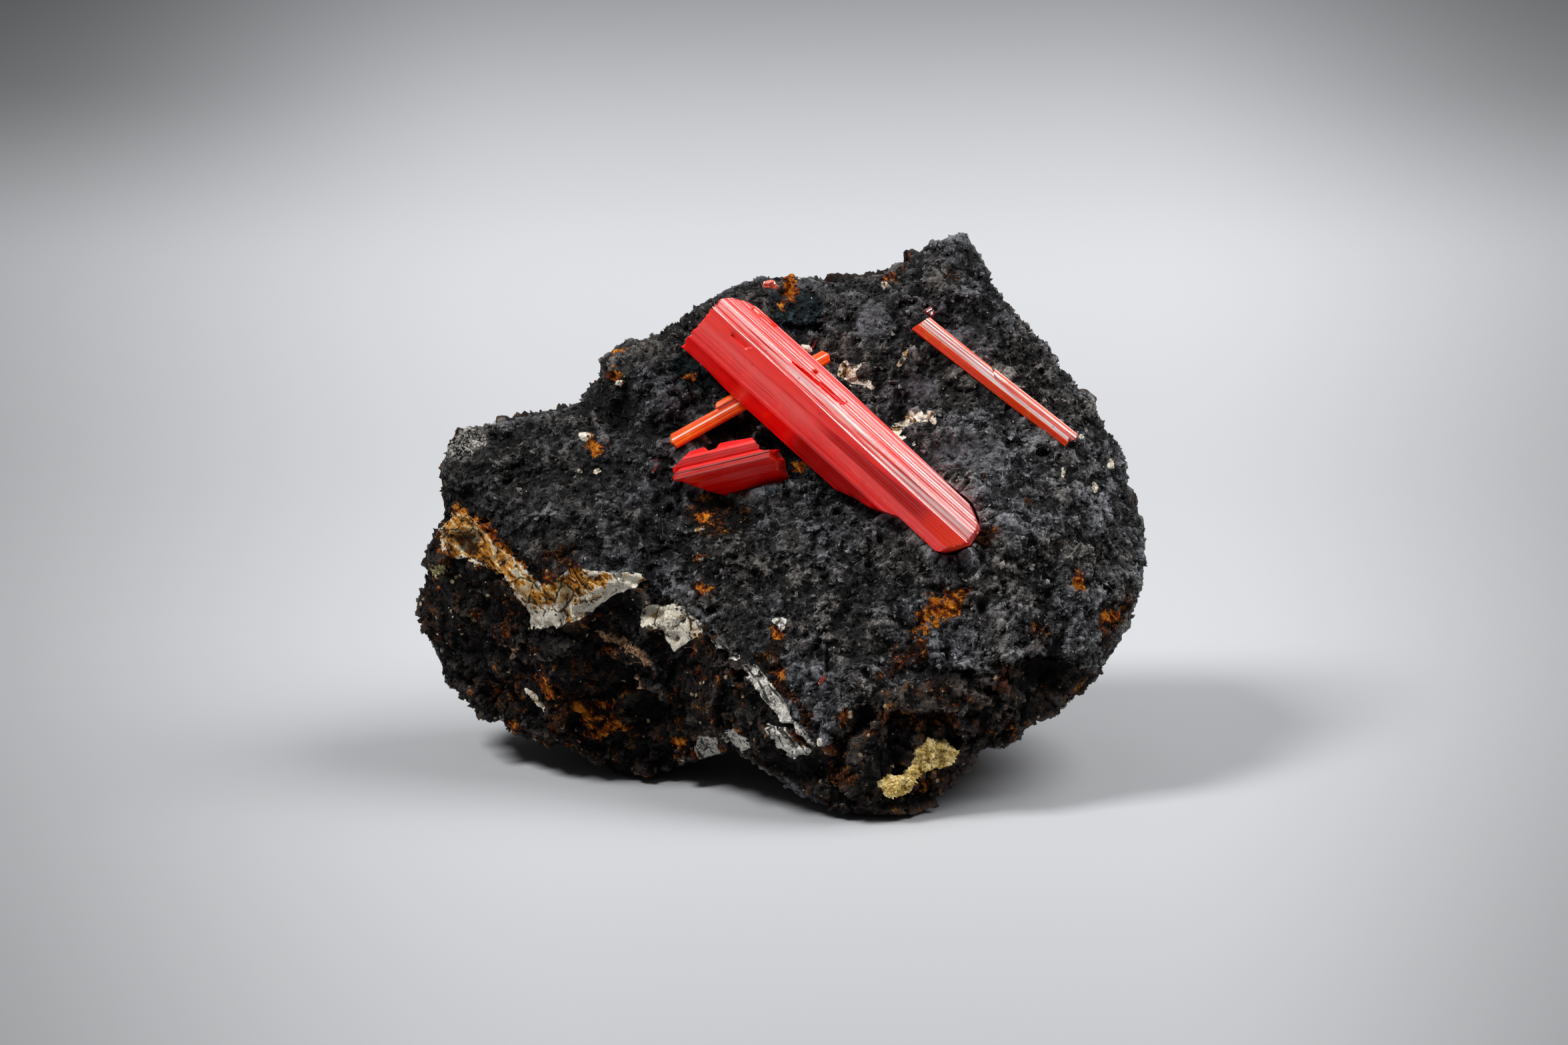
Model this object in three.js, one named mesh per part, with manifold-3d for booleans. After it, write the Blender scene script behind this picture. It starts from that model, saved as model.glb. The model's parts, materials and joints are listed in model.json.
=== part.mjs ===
// A hand specimen of crocoite: red prisms grown on a loose piece of dark, porous gossan.
// Millimetres, +Z up, origin on the ground at the middle of the footprint box.
//
// The rock is described in a leaning face frame (u, v, w): u runs to the right, v up the leaning
// front, w out of it towards the front. The frame leans back by LEAN from the vertical, and its
// zero is the ground contact of the front foot. Every crystal is a straight prism, described by a
// section (p, q) across its axis and an outline (t, p) along it.

import * as THREE from 'three';
import { mergeVertices } from 'three/addons/utils/BufferGeometryUtils.js';
import { ImprovedNoise } from 'three/addons/math/ImprovedNoise.js';
import Module from 'manifold-3d';

const wasm = await Module();
wasm.setup();

// ---------------------------------------------------------------- driving dimensions (mm)

const LEAN = THREE.MathUtils.degToRad(15);
const CLEARANCE = 0.3; // gap between a crystal and the pocket it sits in
const ROCK_DETAIL = 18; // the rock has 20 * (ROCK_DETAIL + 1)^2 faces before its pockets are cut
const ROCK_HEART = [0, 28, -15]; // a point deep inside the rock
const ROCK_SPREAD = [1, 0.8, 0.45]; // its rough proportions, which spread the faces evenly
const RIM_ROUND = 3; // how softly the faces of the rock turn into each other
const UNDERSIDE = 2.6; // the belly of the rock is this far above the ground between its feet
// The outline draws in and wanders from this far behind the front.
const BACK_TAPER = { behind: 6, soft: 2, slope: 0.16, wander: 0.2, waves: 0.08 };
const BREAK_ROUND = 1.6; // how softly the upper face turns over the break edge
const GROUND_ROUND = 2; // how softly the belly turns up into the sides

// Texture of the broken rock: waves per mm across and up, and how far they stand out.
const LUMPS = { across: 0.16, up: 0.19, height: 1.2 };
const KNOBS = { across: 0.3, up: 0.36, height: 3.8, sunk: 0.85 };
const LEDGES = { across: 0.23, up: 0.4, height: 1.2, sunk: -0.42 };

// The rock's outline seen square to the leaning front, clockwise from the left horn.
const RIM = [
  [-35.0, 41.4], [-32.4, 41.0], [-30.8, 39.2], [-28.7, 39.4], [-27.4, 41.0], [-24.9, 42.0],
  [-22.2, 41.9], [-20.5, 43.5], [-19.3, 46.2], [-18.9, 48.2], [-16.3, 48.9], [-11.3, 50.5],
  [-10.3, 51.6], [-8.2, 52.7], [-7.0, 53.9], [-4.2, 54.9], [-1.5, 56.3], [0.9, 56.5],
  [2.0, 55.3], [4.4, 55.0], [5.1, 56.2], [6.6, 56.2], [8.0, 55.2], [9.9, 56.1], [12.1, 57.6],
  [14.5, 59.6], [15.2, 63.6], [19.0, 63.2], [20.3, 57.2], [22.3, 53.5], [24.0, 51.1],
  [26.8, 48.9], [28.5, 45.6], [31.8, 43.4], [33.5, 39.4], [35.6, 35.2], [35.3, 32.8],
  [37.0, 28.7], [37.5, 25.9], [36.5, 21.8], [34.5, 17.9], [32.3, 15.2], [30.1, 11.8],
  [26.5, 10.7], [24.0, 7.8], [18.5, 5.7], [16.1, 1.6], [11.8, -0.6], [9.9, 0.0],
  [3.7, 0.3], [-0.1, 3.5], [-4.6, 6.6], [-6.7, 7.5], [-8.2, 5.9], [-11.5, 4.1], [-16.7, 3.0],
  [-19.1, 4.8], [-22.2, 7.4], [-25.0, 5.9], [-26.4, 7.2], [-29.6, 9.5], [-33.7, 10.8],
  [-35.0, 13.8], [-37.6, 17.3], [-38.6, 20.1], [-38.5, 22.8], [-37.6, 24.3], [-38.0, 25.8],
  [-36.8, 29.2], [-35.2, 30.5], [-33.9, 31.8], [-35.4, 33.4], [-35.9, 36.4], [-35.0, 38.2],
];

// The upper face: a gently tilted plane, w = depth + tilt * u + slope * v about its lowest point.
const UPPER_FACE = { u: 8.2, v: 11.8, w: 3.5, tilt: 0.03, slope: -0.4 };

// The break edge where the upper face ends and the fracture faces under it begin.
const BREAK_EDGE = [
  [-38, 33], [-34.6, 31.8], [-30.5, 29], [-24.9, 25.6], [-14.6, 23.6], [-9.1, 20.1], [-4.9, 16.3],
  [-2.2, 13.9], [-0.1, 10.6], [4.4, 8.6], [8.2, 11.8], [15.1, 14.6], [22, 14.6], [24.7, 16.3],
  [30.3, 15.2], [38, 17],
];
// How steeply the fracture faces run back under the break edge, from left to right.
const UNDERCUT = [[-38, 0.95], [-17, 0.88], [-6, 0.8], [2, 0.6], [12, 0.6], [22, 0.85], [38, 1.1]];

// The flank on the right and the wing on the left turn away from the front.
const RIGHT_TURN = { from: 23, slope: 0.6, soft: 5 };
const LEFT_TURN = { from: -27, slope: 0.15, soft: 5 };

// The back is five broad fracture faces: w = depth + tilt * u + slope * v, the foremost counts.
const BACK_FACES = [
  { w: -31, tilt: 0.02, slope: 0.05 },
  { w: -39.5, tilt: -0.38, slope: 0.02 },
  { w: -43.5, tilt: 0.52, slope: 0.03 },
  { w: -60, tilt: 0.1, slope: 0.56 },
  { w: -48, tilt: -0.34, slope: 0.3 },
];

// Lumps (+) and hollows (-) of the front: [u, v, half-width, half-height, how far].
const RELIEF = [
  [-18.6, 41.5, 2.6, 2.0, -3.4], // dark hollow under the shoulder of the ridge
  [-14.5, 44.5, 4.5, 3.0, 1.6], // shoulder
  [-22.0, 38.0, 3.5, 2.0, 1.0],
  [-33.5, 38.4, 2.4, 2.2, 1.4], // horn
  [-30.5, 35.0, 4.0, 2.2, 0.9],
  [-26.5, 31.5, 4.5, 2.0, 1.3],
  [-17.0, 31.0, 5.5, 3.4, 1.4],
  [-16.0, 25.5, 5.0, 1.6, 1.2],
  [-3.0, 37.8, 4.6, 2.4, -2.6], // hollow between the crystals
  [-8.0, 31.8, 3.2, 1.3, -1.6], // hollow under the broken crystal
  [-8.5, 44.0, 3.0, 2.4, -0.8],
  [-6.2, 51.2, 4.0, 2.4, 2.9], // seat of the large crystal's upper end
  [4.6, 47.8, 1.6, 1.4, -0.9], // nook where the crossing crystal comes out
  [15.0, 50.2, 1.6, 1.4, 0.9], // seats of the thin crystal's two ends
  [28.8, 38.6, 1.8, 1.6, 0.9],
  [-5.5, 27.5, 5.5, 2.6, 1.2],
  [1.5, 26.5, 4.0, 3.5, 0.8],
  [3.0, 20.0, 5.0, 2.4, 1.1],
  [-4.0, 20.0, 3.2, 2.2, 0.9],
  [11.8, 41.6, 1.7, 2.0, -1.7], // hollow right of the large crystal
  [14.0, 56.0, 1.3, 1.1, -1.4], // pit below the peak
  [17.2, 60.5, 2.4, 3.0, 1.8], // peak
  [23.0, 47.6, 2.6, 1.0, -1.4], // slit right of the thin crystal
  [18.0, 40.0, 4.0, 2.2, 0.7],
  [22.0, 43.4, 4.6, 1.9, -1.6], // gap under the middle of the thin crystal
  [21.0, 34.0, 5.0, 3.0, 1.1],
  [27.0, 30.0, 4.0, 4.5, 1.2],
  [21.0, 23.5, 5.5, 3.2, 1.5],
  [30.0, 22.0, 3.0, 4.0, 0.9],
  [12.8, 20.2, 1.8, 1.3, -1.2],
  [12.0, 17.0, 3.6, 2.0, -1.3], // rusty trough above the break edge
  [7.5, 15.0, 3.0, 2.2, 1.2],
  [17.0, 16.0, 3.0, 1.6, 1.2],
  [27.0, 14.8, 3.4, 1.9, -3.0], // large shaded hollow at the lower right
  [31.5, 17.5, 2.0, 2.0, 1.2],
  [-33.6, 28.0, 1.7, 1.3, -1.6], // ochre pit at the left end of the vein
  [-27.0, 22.5, 4.5, 4.0, 0.9],
  [-20.0, 19.0, 3.6, 1.6, -1.2],
  [-12.5, 18.5, 3.4, 2.4, 1.0], // cream plate
  [-23.0, 13.0, 4.5, 3.0, 1.1],
  [-16.0, 11.0, 4.0, 3.4, -0.9],
  [-31.0, 17.0, 3.0, 3.6, 0.9],
  [-3.5, 10.5, 1.4, 4.6, 1.1], // white vein that stands up as a low rib
  [5.9, 10.6, 0.9, 1.2, -1.0],
];

// The front is left rough, the crust and the feet sit on even ground, and the back is worn smoother.
const EVEN_GROUND = { aroundCrust: 2, aboveFeet: 4 };
const BACK_WEAR = { share: 0.5, behind: [5, 11], above: [1, 5] };

// Where the rock touches the ground: [x, y, radius of the foot], y measured back from the front foot.
const FEET = [[9.2, 3.2, 5.8], [-16.2, 15.6, 5.4], [-13.5, 30.0, 5.6], [16.0, 28.6, 6.2]];
const FOOT_DEPTH = 5; // how far a foot reaches down from the belly before it is cut at the ground
const GROUND_BLOCK = { width: 200, depth: 20 }; // wider than the rock, cuts its feet off flat

// A crystal: its two ends seen square to the front, how far its axis stands off the rock, its
// section (p across, q towards the front) and its outline along the axis (t, p).
const LARGE_CRYSTAL = {
  start: [-6.7, 50.75], end: [17.3, 28.9], liftStart: 4.4, liftEnd: 1.6,
  section: [
    [-4.95, -0.4], [-3.4, 1.35], [0.0, 2.7], [1.1, 2.45], [2.2, 1.75], [3.1, 0.75], [3.6, -0.4],
    [3.3, -2.5], [0.2, -2.4], [-3.9, -1.5],
  ],
  outline: [
    [-1.6, -4.7], [-1.2, -2.2], [-1.3, 0.2], [-1.1, 2.2], [0.5, 3.2], [2.2, 3.8], [31.0, 3.8],
    [33.5, 2.7], [34.3, 1.9], [35.1, 0.0], [34.2, -1.8], [33.1, -2.8], [27.6, -2.7],
    [24.4, -4.0], [22.6, -4.3], [20.4, -5.0], [5.0, -4.9], [1.5, -4.7],
  ],
};
// Two shallow gouges in the top face: start and end along the axis, place and width across it.
const GOUGES = [
  { t: [8.6, 15.0], p: 2.25, width: 0.7, q: 1.25 },
  { t: [10.4, 11.3], p: 3.0, width: 0.6, q: 0.35 },
];

const CROSSING_CRYSTAL = {
  start: [-11.6, 38.6], end: [4.6, 47.7], liftStart: 0.8, liftEnd: -0.3,
  section: [[-0.8, -0.2], [-0.55, 0.45], [0.1, 0.65], [0.75, 0.3], [0.8, -0.5], [0.0, -0.9]],
  outline: [[-0.2, -0.9], [-0.5, 0.0], [0.1, 0.9], [18.2, 0.9], [18.6, 0.1], [18.3, -0.9]],
};
// The small rod grown on its upper side, in the same axes.
const CROSSING_ROD = {
  section: [[0.45, -0.4], [0.4, 0.35], [0.85, 0.6], [1.35, 0.25], [1.25, -0.45]],
  outline: [[5.6, 0.3], [5.4, 0.9], [5.8, 1.5], [12.4, 1.5], [12.6, 0.3]],
};

const BROKEN_CRYSTAL = {
  start: [-11.0, 34.4], end: [-1.0, 36.8], liftStart: 1.0, liftEnd: 1.1,
  section: [[-2.75, -0.6], [-1.9, 0.9], [0.5, 1.7], [1.35, 1.0], [1.6, -0.5], [0.4, -1.9], [-1.9, -1.8]],
  outline: [
    [-0.5, 0.2], [-0.6, 1.6], [2.0, 1.7], [10.4, 1.7], [10.3, 0.6], [10.9, -0.4], [10.5, -1.2],
    [11.0, -2.2], [10.8, -2.7], [4.6, -2.75], [2.6, -1.7], [0.2, -0.1],
  ],
};
// The ragged rear fragment grown on its back, in the same axes.
const BROKEN_REAR = {
  section: [[0.9, -1.4], [1.0, 0.75], [2.0, 1.25], [2.8, 0.5], [2.6, -1.2]],
  outline: [
    [-0.4, 0.7], [-0.4, 1.5], [1.6, 2.7], [3.2, 2.8], [3.5, 2.3], [4.4, 2.4], [4.8, 2.85],
    [8.2, 2.6], [8.6, 1.6], [8.6, 0.7],
  ],
};

const THIN_CRYSTAL = {
  start: [14.1, 50.6], end: [29.4, 38.5], liftStart: 1.8, liftEnd: 1.7,
  section: [[-1.0, -0.3], [-0.45, 0.7], [0.3, 0.9], [0.95, 0.3], [0.8, -0.8], [-0.5, -1.1]],
  outline: [[-0.7, -1.0], [-0.3, 0.1], [0.0, 1.0], [8.3, 0.85], [9.2, 0.2], [19.1, 0.2], [19.3, -0.8]],
};
// The second rod, which carries on beside the first in the lower half.
const THIN_ROD = {
  section: [[-0.1, -0.75], [0.0, 0.45], [0.5, 0.75], [0.95, 0.4], [1.0, -0.5]],
  outline: [[8.6, -0.1], [8.7, 1.1], [19.5, 0.9], [19.7, 0.4], [19.3, -0.1]],
};

const SMALL_SECTION = [[-0.5, -0.4], [-0.3, 0.4], [0.35, 0.45], [0.5, -0.35]];
const CORAL_CHIP = {
  start: [-2.6, 55.0], end: [-1.0, 54.9], liftStart: 0.25, liftEnd: 0.25,
  section: [[-0.5, -0.6], [-0.4, 0.35], [0.1, 0.5], [0.45, 0.3], [0.45, -0.6]],
  outline: [[0.0, -0.35], [0.1, 0.35], [1.2, 0.45], [1.65, -0.1], [1.5, -0.45]],
};
const DARK_RED_CHIP = {
  start: [14.6, 52.3], end: [15.2, 51.5], liftStart: 0.2, liftEnd: 0.2,
  section: SMALL_SECTION,
  outline: [[0.0, -0.45], [-0.1, 0.4], [0.7, 0.5], [1.1, -0.2]],
};
const RED_SLIVER = {
  start: [3.0, 13.7], end: [4.0, 15.0], liftStart: 0.2, liftEnd: 0.2,
  section: SMALL_SECTION,
  outline: [[-0.1, -0.2], [0.2, 0.3], [1.5, 0.35], [1.7, -0.05], [1.1, -0.4]],
};

// The granular crust: its outline on the lower right fracture face, and how thick it is.
const CRUST_OUTLINE = [
  [12.9, 7.6], [14.0, 8.2], [16.1, 8.0], [17.3, 7.1], [16.8, 5.8], [15.4, 5.1], [14.2, 4.9],
  [13.1, 3.9], [12.5, 2.8], [11.3, 2.4], [9.9, 2.7], [8.7, 3.7], [9.4, 4.3], [11.3, 4.5],
  [12.4, 5.6],
];
const CRUST = { middle: [13, 5.4], reach: [2, 1.5], thickness: 1.3, proud: 0.7, bevel: 0.3 };

// ---------------------------------------------------------------- frame

const FACE_U = new THREE.Vector3(1, 0, 0);
const FACE_V = new THREE.Vector3(0, Math.sin(LEAN), Math.cos(LEAN));
const FACE_W = new THREE.Vector3(0, -Math.cos(LEAN), Math.sin(LEAN));

function fromFace(u, v, w) {
  return new THREE.Vector3()
    .addScaledVector(FACE_U, u)
    .addScaledVector(FACE_V, v)
    .addScaledVector(FACE_W, w);
}

// ---------------------------------------------------------------- small helpers

function smoothMax(a, b, round) {
  const blend = Math.max(round - Math.abs(a - b), 0) / round;
  return Math.max(a, b) + blend * blend * round * 0.25;
}

// A bend that is 0 before 0 and rises at slope 1 after it, rounded over `soft`.
function softRamp(x, soft) {
  return 0.5 * (x + Math.sqrt(x * x + soft * soft)) - 0.5 * soft * Math.exp(-Math.abs(x) / soft);
}

// The value at x of a line through [x, y] points.
function along(points, x) {
  let i = 1;
  while (i < points.length - 1 && points[i][0] < x) i += 1;
  const [x0, y0] = points[i - 1];
  const [x1, y1] = points[i];
  return y0 + (y1 - y0) * THREE.MathUtils.clamp((x - x0) / (x1 - x0), 0, 1);
}

function signedDistance(outline, x, y) {
  let nearest = Infinity;
  let inside = false;
  outline.forEach(([ax, ay], i) => {
    const [bx, by] = outline[(i + outline.length - 1) % outline.length];
    const ex = bx - ax;
    const ey = by - ay;
    const share = THREE.MathUtils.clamp(((x - ax) * ex + (y - ay) * ey) / (ex * ex + ey * ey), 0, 1);
    nearest = Math.min(nearest, Math.hypot(x - ax - share * ex, y - ay - share * ey));
    if (ay > y !== by > y && x < (ex * (y - ay)) / ey + ax) inside = !inside;
  });
  return inside ? -nearest : nearest;
}

const noise = new ImprovedNoise();

function waves(point, { across, up }, offset) {
  return noise.noise(point.x * across + offset, point.y * across + offset, point.z * up + offset);
}

// Broad lumps, knobs parted by sharp creases, and sharp ledges.
function roughness(point) {
  const lumps = LUMPS.height * waves(point, LUMPS, 3.1);
  const knobs = KNOBS.height * Math.abs(waves(point, KNOBS, 11.3)) - KNOBS.sunk;
  const ledges = -LEDGES.height * Math.abs(waves(point, LEDGES, 8.5)) - LEDGES.sunk;
  return lumps + knobs + ledges;
}

// ---------------------------------------------------------------- the rock as a field

function upperFace(u, v) {
  const { tilt, slope } = UPPER_FACE;
  return UPPER_FACE.w + tilt * (u - UPPER_FACE.u) + slope * (v - UPPER_FACE.v);
}

// The even ground of the front, without its lumps.
function frontGround(u, v) {
  const below = softRamp(along(BREAK_EDGE, u) - v, BREAK_ROUND);
  const right = RIGHT_TURN.slope * softRamp(u - RIGHT_TURN.from, RIGHT_TURN.soft);
  const left = LEFT_TURN.slope * softRamp(LEFT_TURN.from - u, LEFT_TURN.soft);
  return upperFace(u, v) - along(UNDERCUT, u) * below - right - left;
}

function frontDepth(u, v) {
  let depth = frontGround(u, v);
  RELIEF.forEach(([cu, cv, halfWidth, halfHeight, height]) => {
    const reach = ((u - cu) / halfWidth) ** 2 + ((v - cv) / halfHeight) ** 2;
    depth += height * Math.exp(-reach);
  });
  return depth;
}

function backDepth(u, v) {
  const depths = BACK_FACES.map((face) => face.w + face.tilt * u + face.slope * v);
  return depths.reduce((deepest, depth) => smoothMax(deepest, depth, RIM_ROUND));
}

// Distance to the outline, which draws in and wanders towards the back.
function rimDistance(u, v, w) {
  const behind = softRamp(frontDepth(u, v) - BACK_TAPER.behind - w, BACK_TAPER.soft);
  const drift = BACK_TAPER.wander * behind;
  const [a, b, c] = [u, v, w].map((place) => place * BACK_TAPER.waves);
  const du = drift * noise.noise(a + 5.2, b + 1.1, c);
  const dv = drift * noise.noise(a + 2.6, b + 8.4, c);
  return signedDistance(RIM, u + du, v + dv) + BACK_TAPER.slope * behind;
}

// How high the belly stands over the ground: it dips below the ground at the feet.
function underside(point) {
  const reach = FEET.map(([x, y, radius]) => ((point.x - x) ** 2 + (point.y - y) ** 2) / radius ** 2);
  return UNDERSIDE - FOOT_DEPTH * Math.exp(-Math.min(...reach));
}

// How much of the roughness shows: none under the crust and at the feet.
function roughShare(u, v, point) {
  const { aroundCrust, aboveFeet } = EVEN_GROUND;
  const crust = THREE.MathUtils.smoothstep(signedDistance(CRUST_OUTLINE, u, v), 0, aroundCrust);
  return Math.min(crust, THREE.MathUtils.smoothstep(point.z, 0, aboveFeet));
}

// Negative inside the rock, positive outside.
function rockField(point) {
  const u = point.x;
  const v = point.dot(FACE_V);
  const w = point.dot(FACE_W);
  let field = smoothMax(w - frontDepth(u, v), backDepth(u, v) - w, RIM_ROUND);
  field = smoothMax(field, rimDistance(u, v, w), RIM_ROUND);
  field = smoothMax(field, underside(point) - point.z, GROUND_ROUND);
  return field - roughShare(u, v, point) * roughness(point);
}

// ---------------------------------------------------------------- the rock as a mesh

const SEARCH = { from: 4, step: 0.5, halvings: 12 }; // along a ray from the heart of the rock
const SLOPE_STEP = 0.15; // over this distance the slope of the field is measured
const SETTLE = { stride: 0.8, leastSlope: 0.25 }; // a point moves no further than this at a time
const EVENING = { rounds: 14, share: 0.5, lastShare: 0.2, wearRounds: 5 };

// Steps from the heart of the rock until it leaves the field, then halves the last step.
function surfaceAlong(heart, direction) {
  const place = (r) => heart.clone().addScaledVector(direction, r);
  let outside = SEARCH.from;
  while (rockField(place(outside)) < 0) outside += SEARCH.step;
  let inside = outside - SEARCH.step;
  for (let i = 0; i < SEARCH.halvings; i += 1) {
    const middle = 0.5 * (inside + outside);
    if (rockField(place(middle)) < 0) inside = middle;
    else outside = middle;
  }
  return place(outside);
}

function fieldSlope(point) {
  const slope = new THREE.Vector3();
  ['x', 'y', 'z'].forEach((axis) => {
    const ahead = point.clone();
    const behind = point.clone();
    ahead[axis] += SLOPE_STEP;
    behind[axis] -= SLOPE_STEP;
    slope[axis] = (rockField(ahead) - rockField(behind)) / (2 * SLOPE_STEP);
  });
  return slope;
}

// Moves a point down the slope of the field, on to the surface.
function settle(point) {
  const slope = fieldSlope(point);
  const stride = rockField(point) / Math.max(slope.lengthSq(), SETTLE.leastSlope);
  return point.addScaledVector(slope, -THREE.MathUtils.clamp(stride, -SETTLE.stride, SETTLE.stride));
}

function neighboursOf(index, count) {
  const sets = Array.from({ length: count }, () => new Set());
  for (let i = 0; i < index.count; i += 3) {
    const corners = [index.getX(i), index.getX(i + 1), index.getX(i + 2)];
    corners.forEach((a) => corners.forEach((b) => a !== b && sets[a].add(b)));
  }
  return sets.map((set) => [...set]);
}

// Moves every point a share of the way to the middle of its neighbours.
function even(points, neighbours, shareAt) {
  return points.map((point, i) => {
    const middle = new THREE.Vector3();
    neighbours[i].forEach((n) => middle.add(points[n]));
    return point.clone().lerp(middle.divideScalar(neighbours[i].length), shareAt(point));
  });
}

// How much the rock is worn smooth at a point: not at all on the front and at the feet.
function backWear(point) {
  const behind = frontDepth(point.x, point.dot(FACE_V)) - point.dot(FACE_W);
  const atBack = THREE.MathUtils.smoothstep(behind, ...BACK_WEAR.behind);
  return BACK_WEAR.share * atBack * THREE.MathUtils.smoothstep(point.z, ...BACK_WEAR.above);
}

// A geodesic ball drawn onto the field, evened out so that its faces are of like size.
function rockGeometry() {
  const ball = new THREE.IcosahedronGeometry(1, ROCK_DETAIL);
  const geometry = weld(ball);
  const places = geometry.attributes.position;
  const heart = fromFace(...ROCK_HEART);
  let points = [];
  for (let i = 0; i < places.count; i += 1) {
    const [u, v, w] = ROCK_SPREAD.map((share, axis) => share * places.getComponent(i, axis));
    points.push(surfaceAlong(heart, fromFace(u, v, w).normalize()));
  }
  const neighbours = neighboursOf(geometry.index, places.count);
  for (let round = 0; round < EVENING.rounds; round += 1) {
    points = even(points, neighbours, () => EVENING.share).map(settle);
  }
  points = even(points, neighbours, () => EVENING.lastShare).map(settle);
  for (let round = 0; round < EVENING.wearRounds; round += 1) points = even(points, neighbours, backWear);
  points.forEach((point, i) => places.setXYZ(i, point.x, point.y, point.z));
  return geometry;
}

// ---------------------------------------------------------------- solids

// Joins equal corners, so that the mesh is closed.
function weld(geometry) {
  const bare = geometry.clone();
  Object.keys(bare.attributes).forEach((name) => name !== 'position' && bare.deleteAttribute(name));
  return mergeVertices(bare, 1e-4);
}

function toSolid(geometry) {
  const closed = weld(geometry);
  return new wasm.Manifold(new wasm.Mesh({
    numProp: 3,
    vertProperties: new Float32Array(closed.attributes.position.array),
    triVerts: new Uint32Array(closed.index.array),
  }));
}

function toGeometry(solid) {
  const mesh = solid.getMesh();
  const geometry = new THREE.BufferGeometry();
  geometry.setAttribute('position', new THREE.BufferAttribute(mesh.vertProperties, 3));
  geometry.setIndex(new THREE.BufferAttribute(mesh.triVerts, 1));
  return geometry;
}

function extrude(outline, depth) {
  const shape = new THREE.Shape(outline.map(([x, y]) => new THREE.Vector2(x, y)));
  return new THREE.ExtrudeGeometry(shape, { depth, bevelEnabled: false, steps: 1 });
}

// The outline with every side moved outwards by `distance`.
function grow(outline, distance) {
  const turn = Math.sign(THREE.ShapeUtils.area(outline.map(([x, y]) => new THREE.Vector2(x, y))));
  const normal = ([ax, ay], [bx, by]) => {
    const length = Math.hypot(bx - ax, by - ay);
    return [(turn * (by - ay)) / length, (turn * (ax - bx)) / length];
  };
  return outline.map((corner, i) => {
    const [nx, ny] = normal(outline[(i + outline.length - 1) % outline.length], corner);
    const [mx, my] = normal(corner, outline[(i + 1) % outline.length]);
    const scale = distance / Math.max(1 + nx * mx + ny * my, 0.4);
    return [corner[0] + scale * (nx + mx), corner[1] + scale * (ny + my)];
  });
}

// ---------------------------------------------------------------- crystals

const LONG = 80; // longer than any crystal

// A prism in its own axes: x = p across, y = q out, z = t along, trimmed to its outline.
function prism({ section, outline }, extra = 0) {
  const bar = extrude(grow(section, extra), LONG);
  bar.translate(0, 0, -LONG / 2);
  const trim = extrude(grow(outline, extra), LONG);
  trim.translate(0, 0, -LONG / 2);
  trim.applyMatrix4(new THREE.Matrix4().makeBasis(
    new THREE.Vector3(0, 0, 1),
    new THREE.Vector3(1, 0, 0),
    new THREE.Vector3(0, 1, 0),
  ));
  return toSolid(bar).intersect(toSolid(trim));
}

// Where a crystal's axes lie on the leaning face.
function placement({ start, end, liftStart, liftEnd }) {
  const from = fromFace(...start, frontGround(...start) + liftStart);
  const to = fromFace(...end, frontGround(...end) + liftEnd);
  const alongAxis = to.clone().sub(from).normalize();
  const across = new THREE.Vector3().crossVectors(FACE_W, alongAxis).normalize();
  const out = new THREE.Vector3().crossVectors(alongAxis, across);
  return { from, basis: new THREE.Matrix4().makeBasis(across, out, alongAxis) };
}

function crystal(name, plan, material, parts) {
  const { from, basis } = placement(plan);
  const solid = parts(0);
  const mesh = new THREE.Mesh(toGeometry(solid), material);
  mesh.name = name;
  mesh.position.copy(from);
  mesh.quaternion.setFromRotationMatrix(basis);
  mesh.updateMatrix();
  const pocket = toGeometry(parts(CLEARANCE)).applyMatrix4(mesh.matrix);
  return { mesh, pocket: toSolid(pocket) };
}

function largeCrystal(extra) {
  const body = prism(LARGE_CRYSTAL, extra);
  if (extra > 0) return body;
  return GOUGES.reduce((solid, { t, p, width, q }) => {
    const groove = new THREE.BoxGeometry(width, 2, t[1] - t[0]);
    groove.translate(p, q + 1, 0.5 * (t[0] + t[1]));
    return solid.subtract(toSolid(groove));
  }, body);
}

function joined(first, second) {
  return (extra) => prism(first, extra).add(prism(second, extra));
}

// ---------------------------------------------------------------- crust

// The step between two points of the front that lie on either side of (u, v).
function stepAcross(u, v, du, dv) {
  const ahead = fromFace(u + du, v + dv, frontDepth(u + du, v + dv));
  return ahead.sub(fromFace(u - du, v - dv, frontDepth(u - du, v - dv)));
}

function crustPlate(extra) {
  const [u, v] = CRUST.middle;
  const outline = grow(CRUST_OUTLINE, extra - CRUST.bevel).map(([a, b]) => [a - u, b - v]);
  const shape = new THREE.Shape(outline.map(([x, y]) => new THREE.Vector2(x, y)));
  const plate = new THREE.ExtrudeGeometry(shape, {
    depth: CRUST.thickness + extra - CRUST.bevel,
    steps: 1,
    bevelSegments: 1,
    bevelSize: CRUST.bevel,
    bevelThickness: CRUST.bevel,
  });
  plate.translate(0, 0, CRUST.proud - CRUST.thickness - extra);
  const centre = fromFace(u, v, frontDepth(u, v));
  const right = stepAcross(u, v, CRUST.reach[0], 0).normalize();
  const out = new THREE.Vector3().crossVectors(right, stepAcross(u, v, 0, CRUST.reach[1])).normalize();
  const basis = new THREE.Matrix4().makeBasis(right, new THREE.Vector3().crossVectors(out, right), out);
  return { plate, centre, basis };
}

function yellowCrust(material) {
  const { plate, centre, basis } = crustPlate(0);
  const mesh = new THREE.Mesh(weld(plate), material);
  mesh.name = 'yellow_crust';
  mesh.position.copy(centre);
  mesh.quaternion.setFromRotationMatrix(basis);
  mesh.updateMatrix();
  const pocket = crustPlate(CLEARANCE).plate.applyMatrix4(mesh.matrix);
  return { mesh, pocket: toSolid(pocket) };
}

// ---------------------------------------------------------------- assembly

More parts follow.
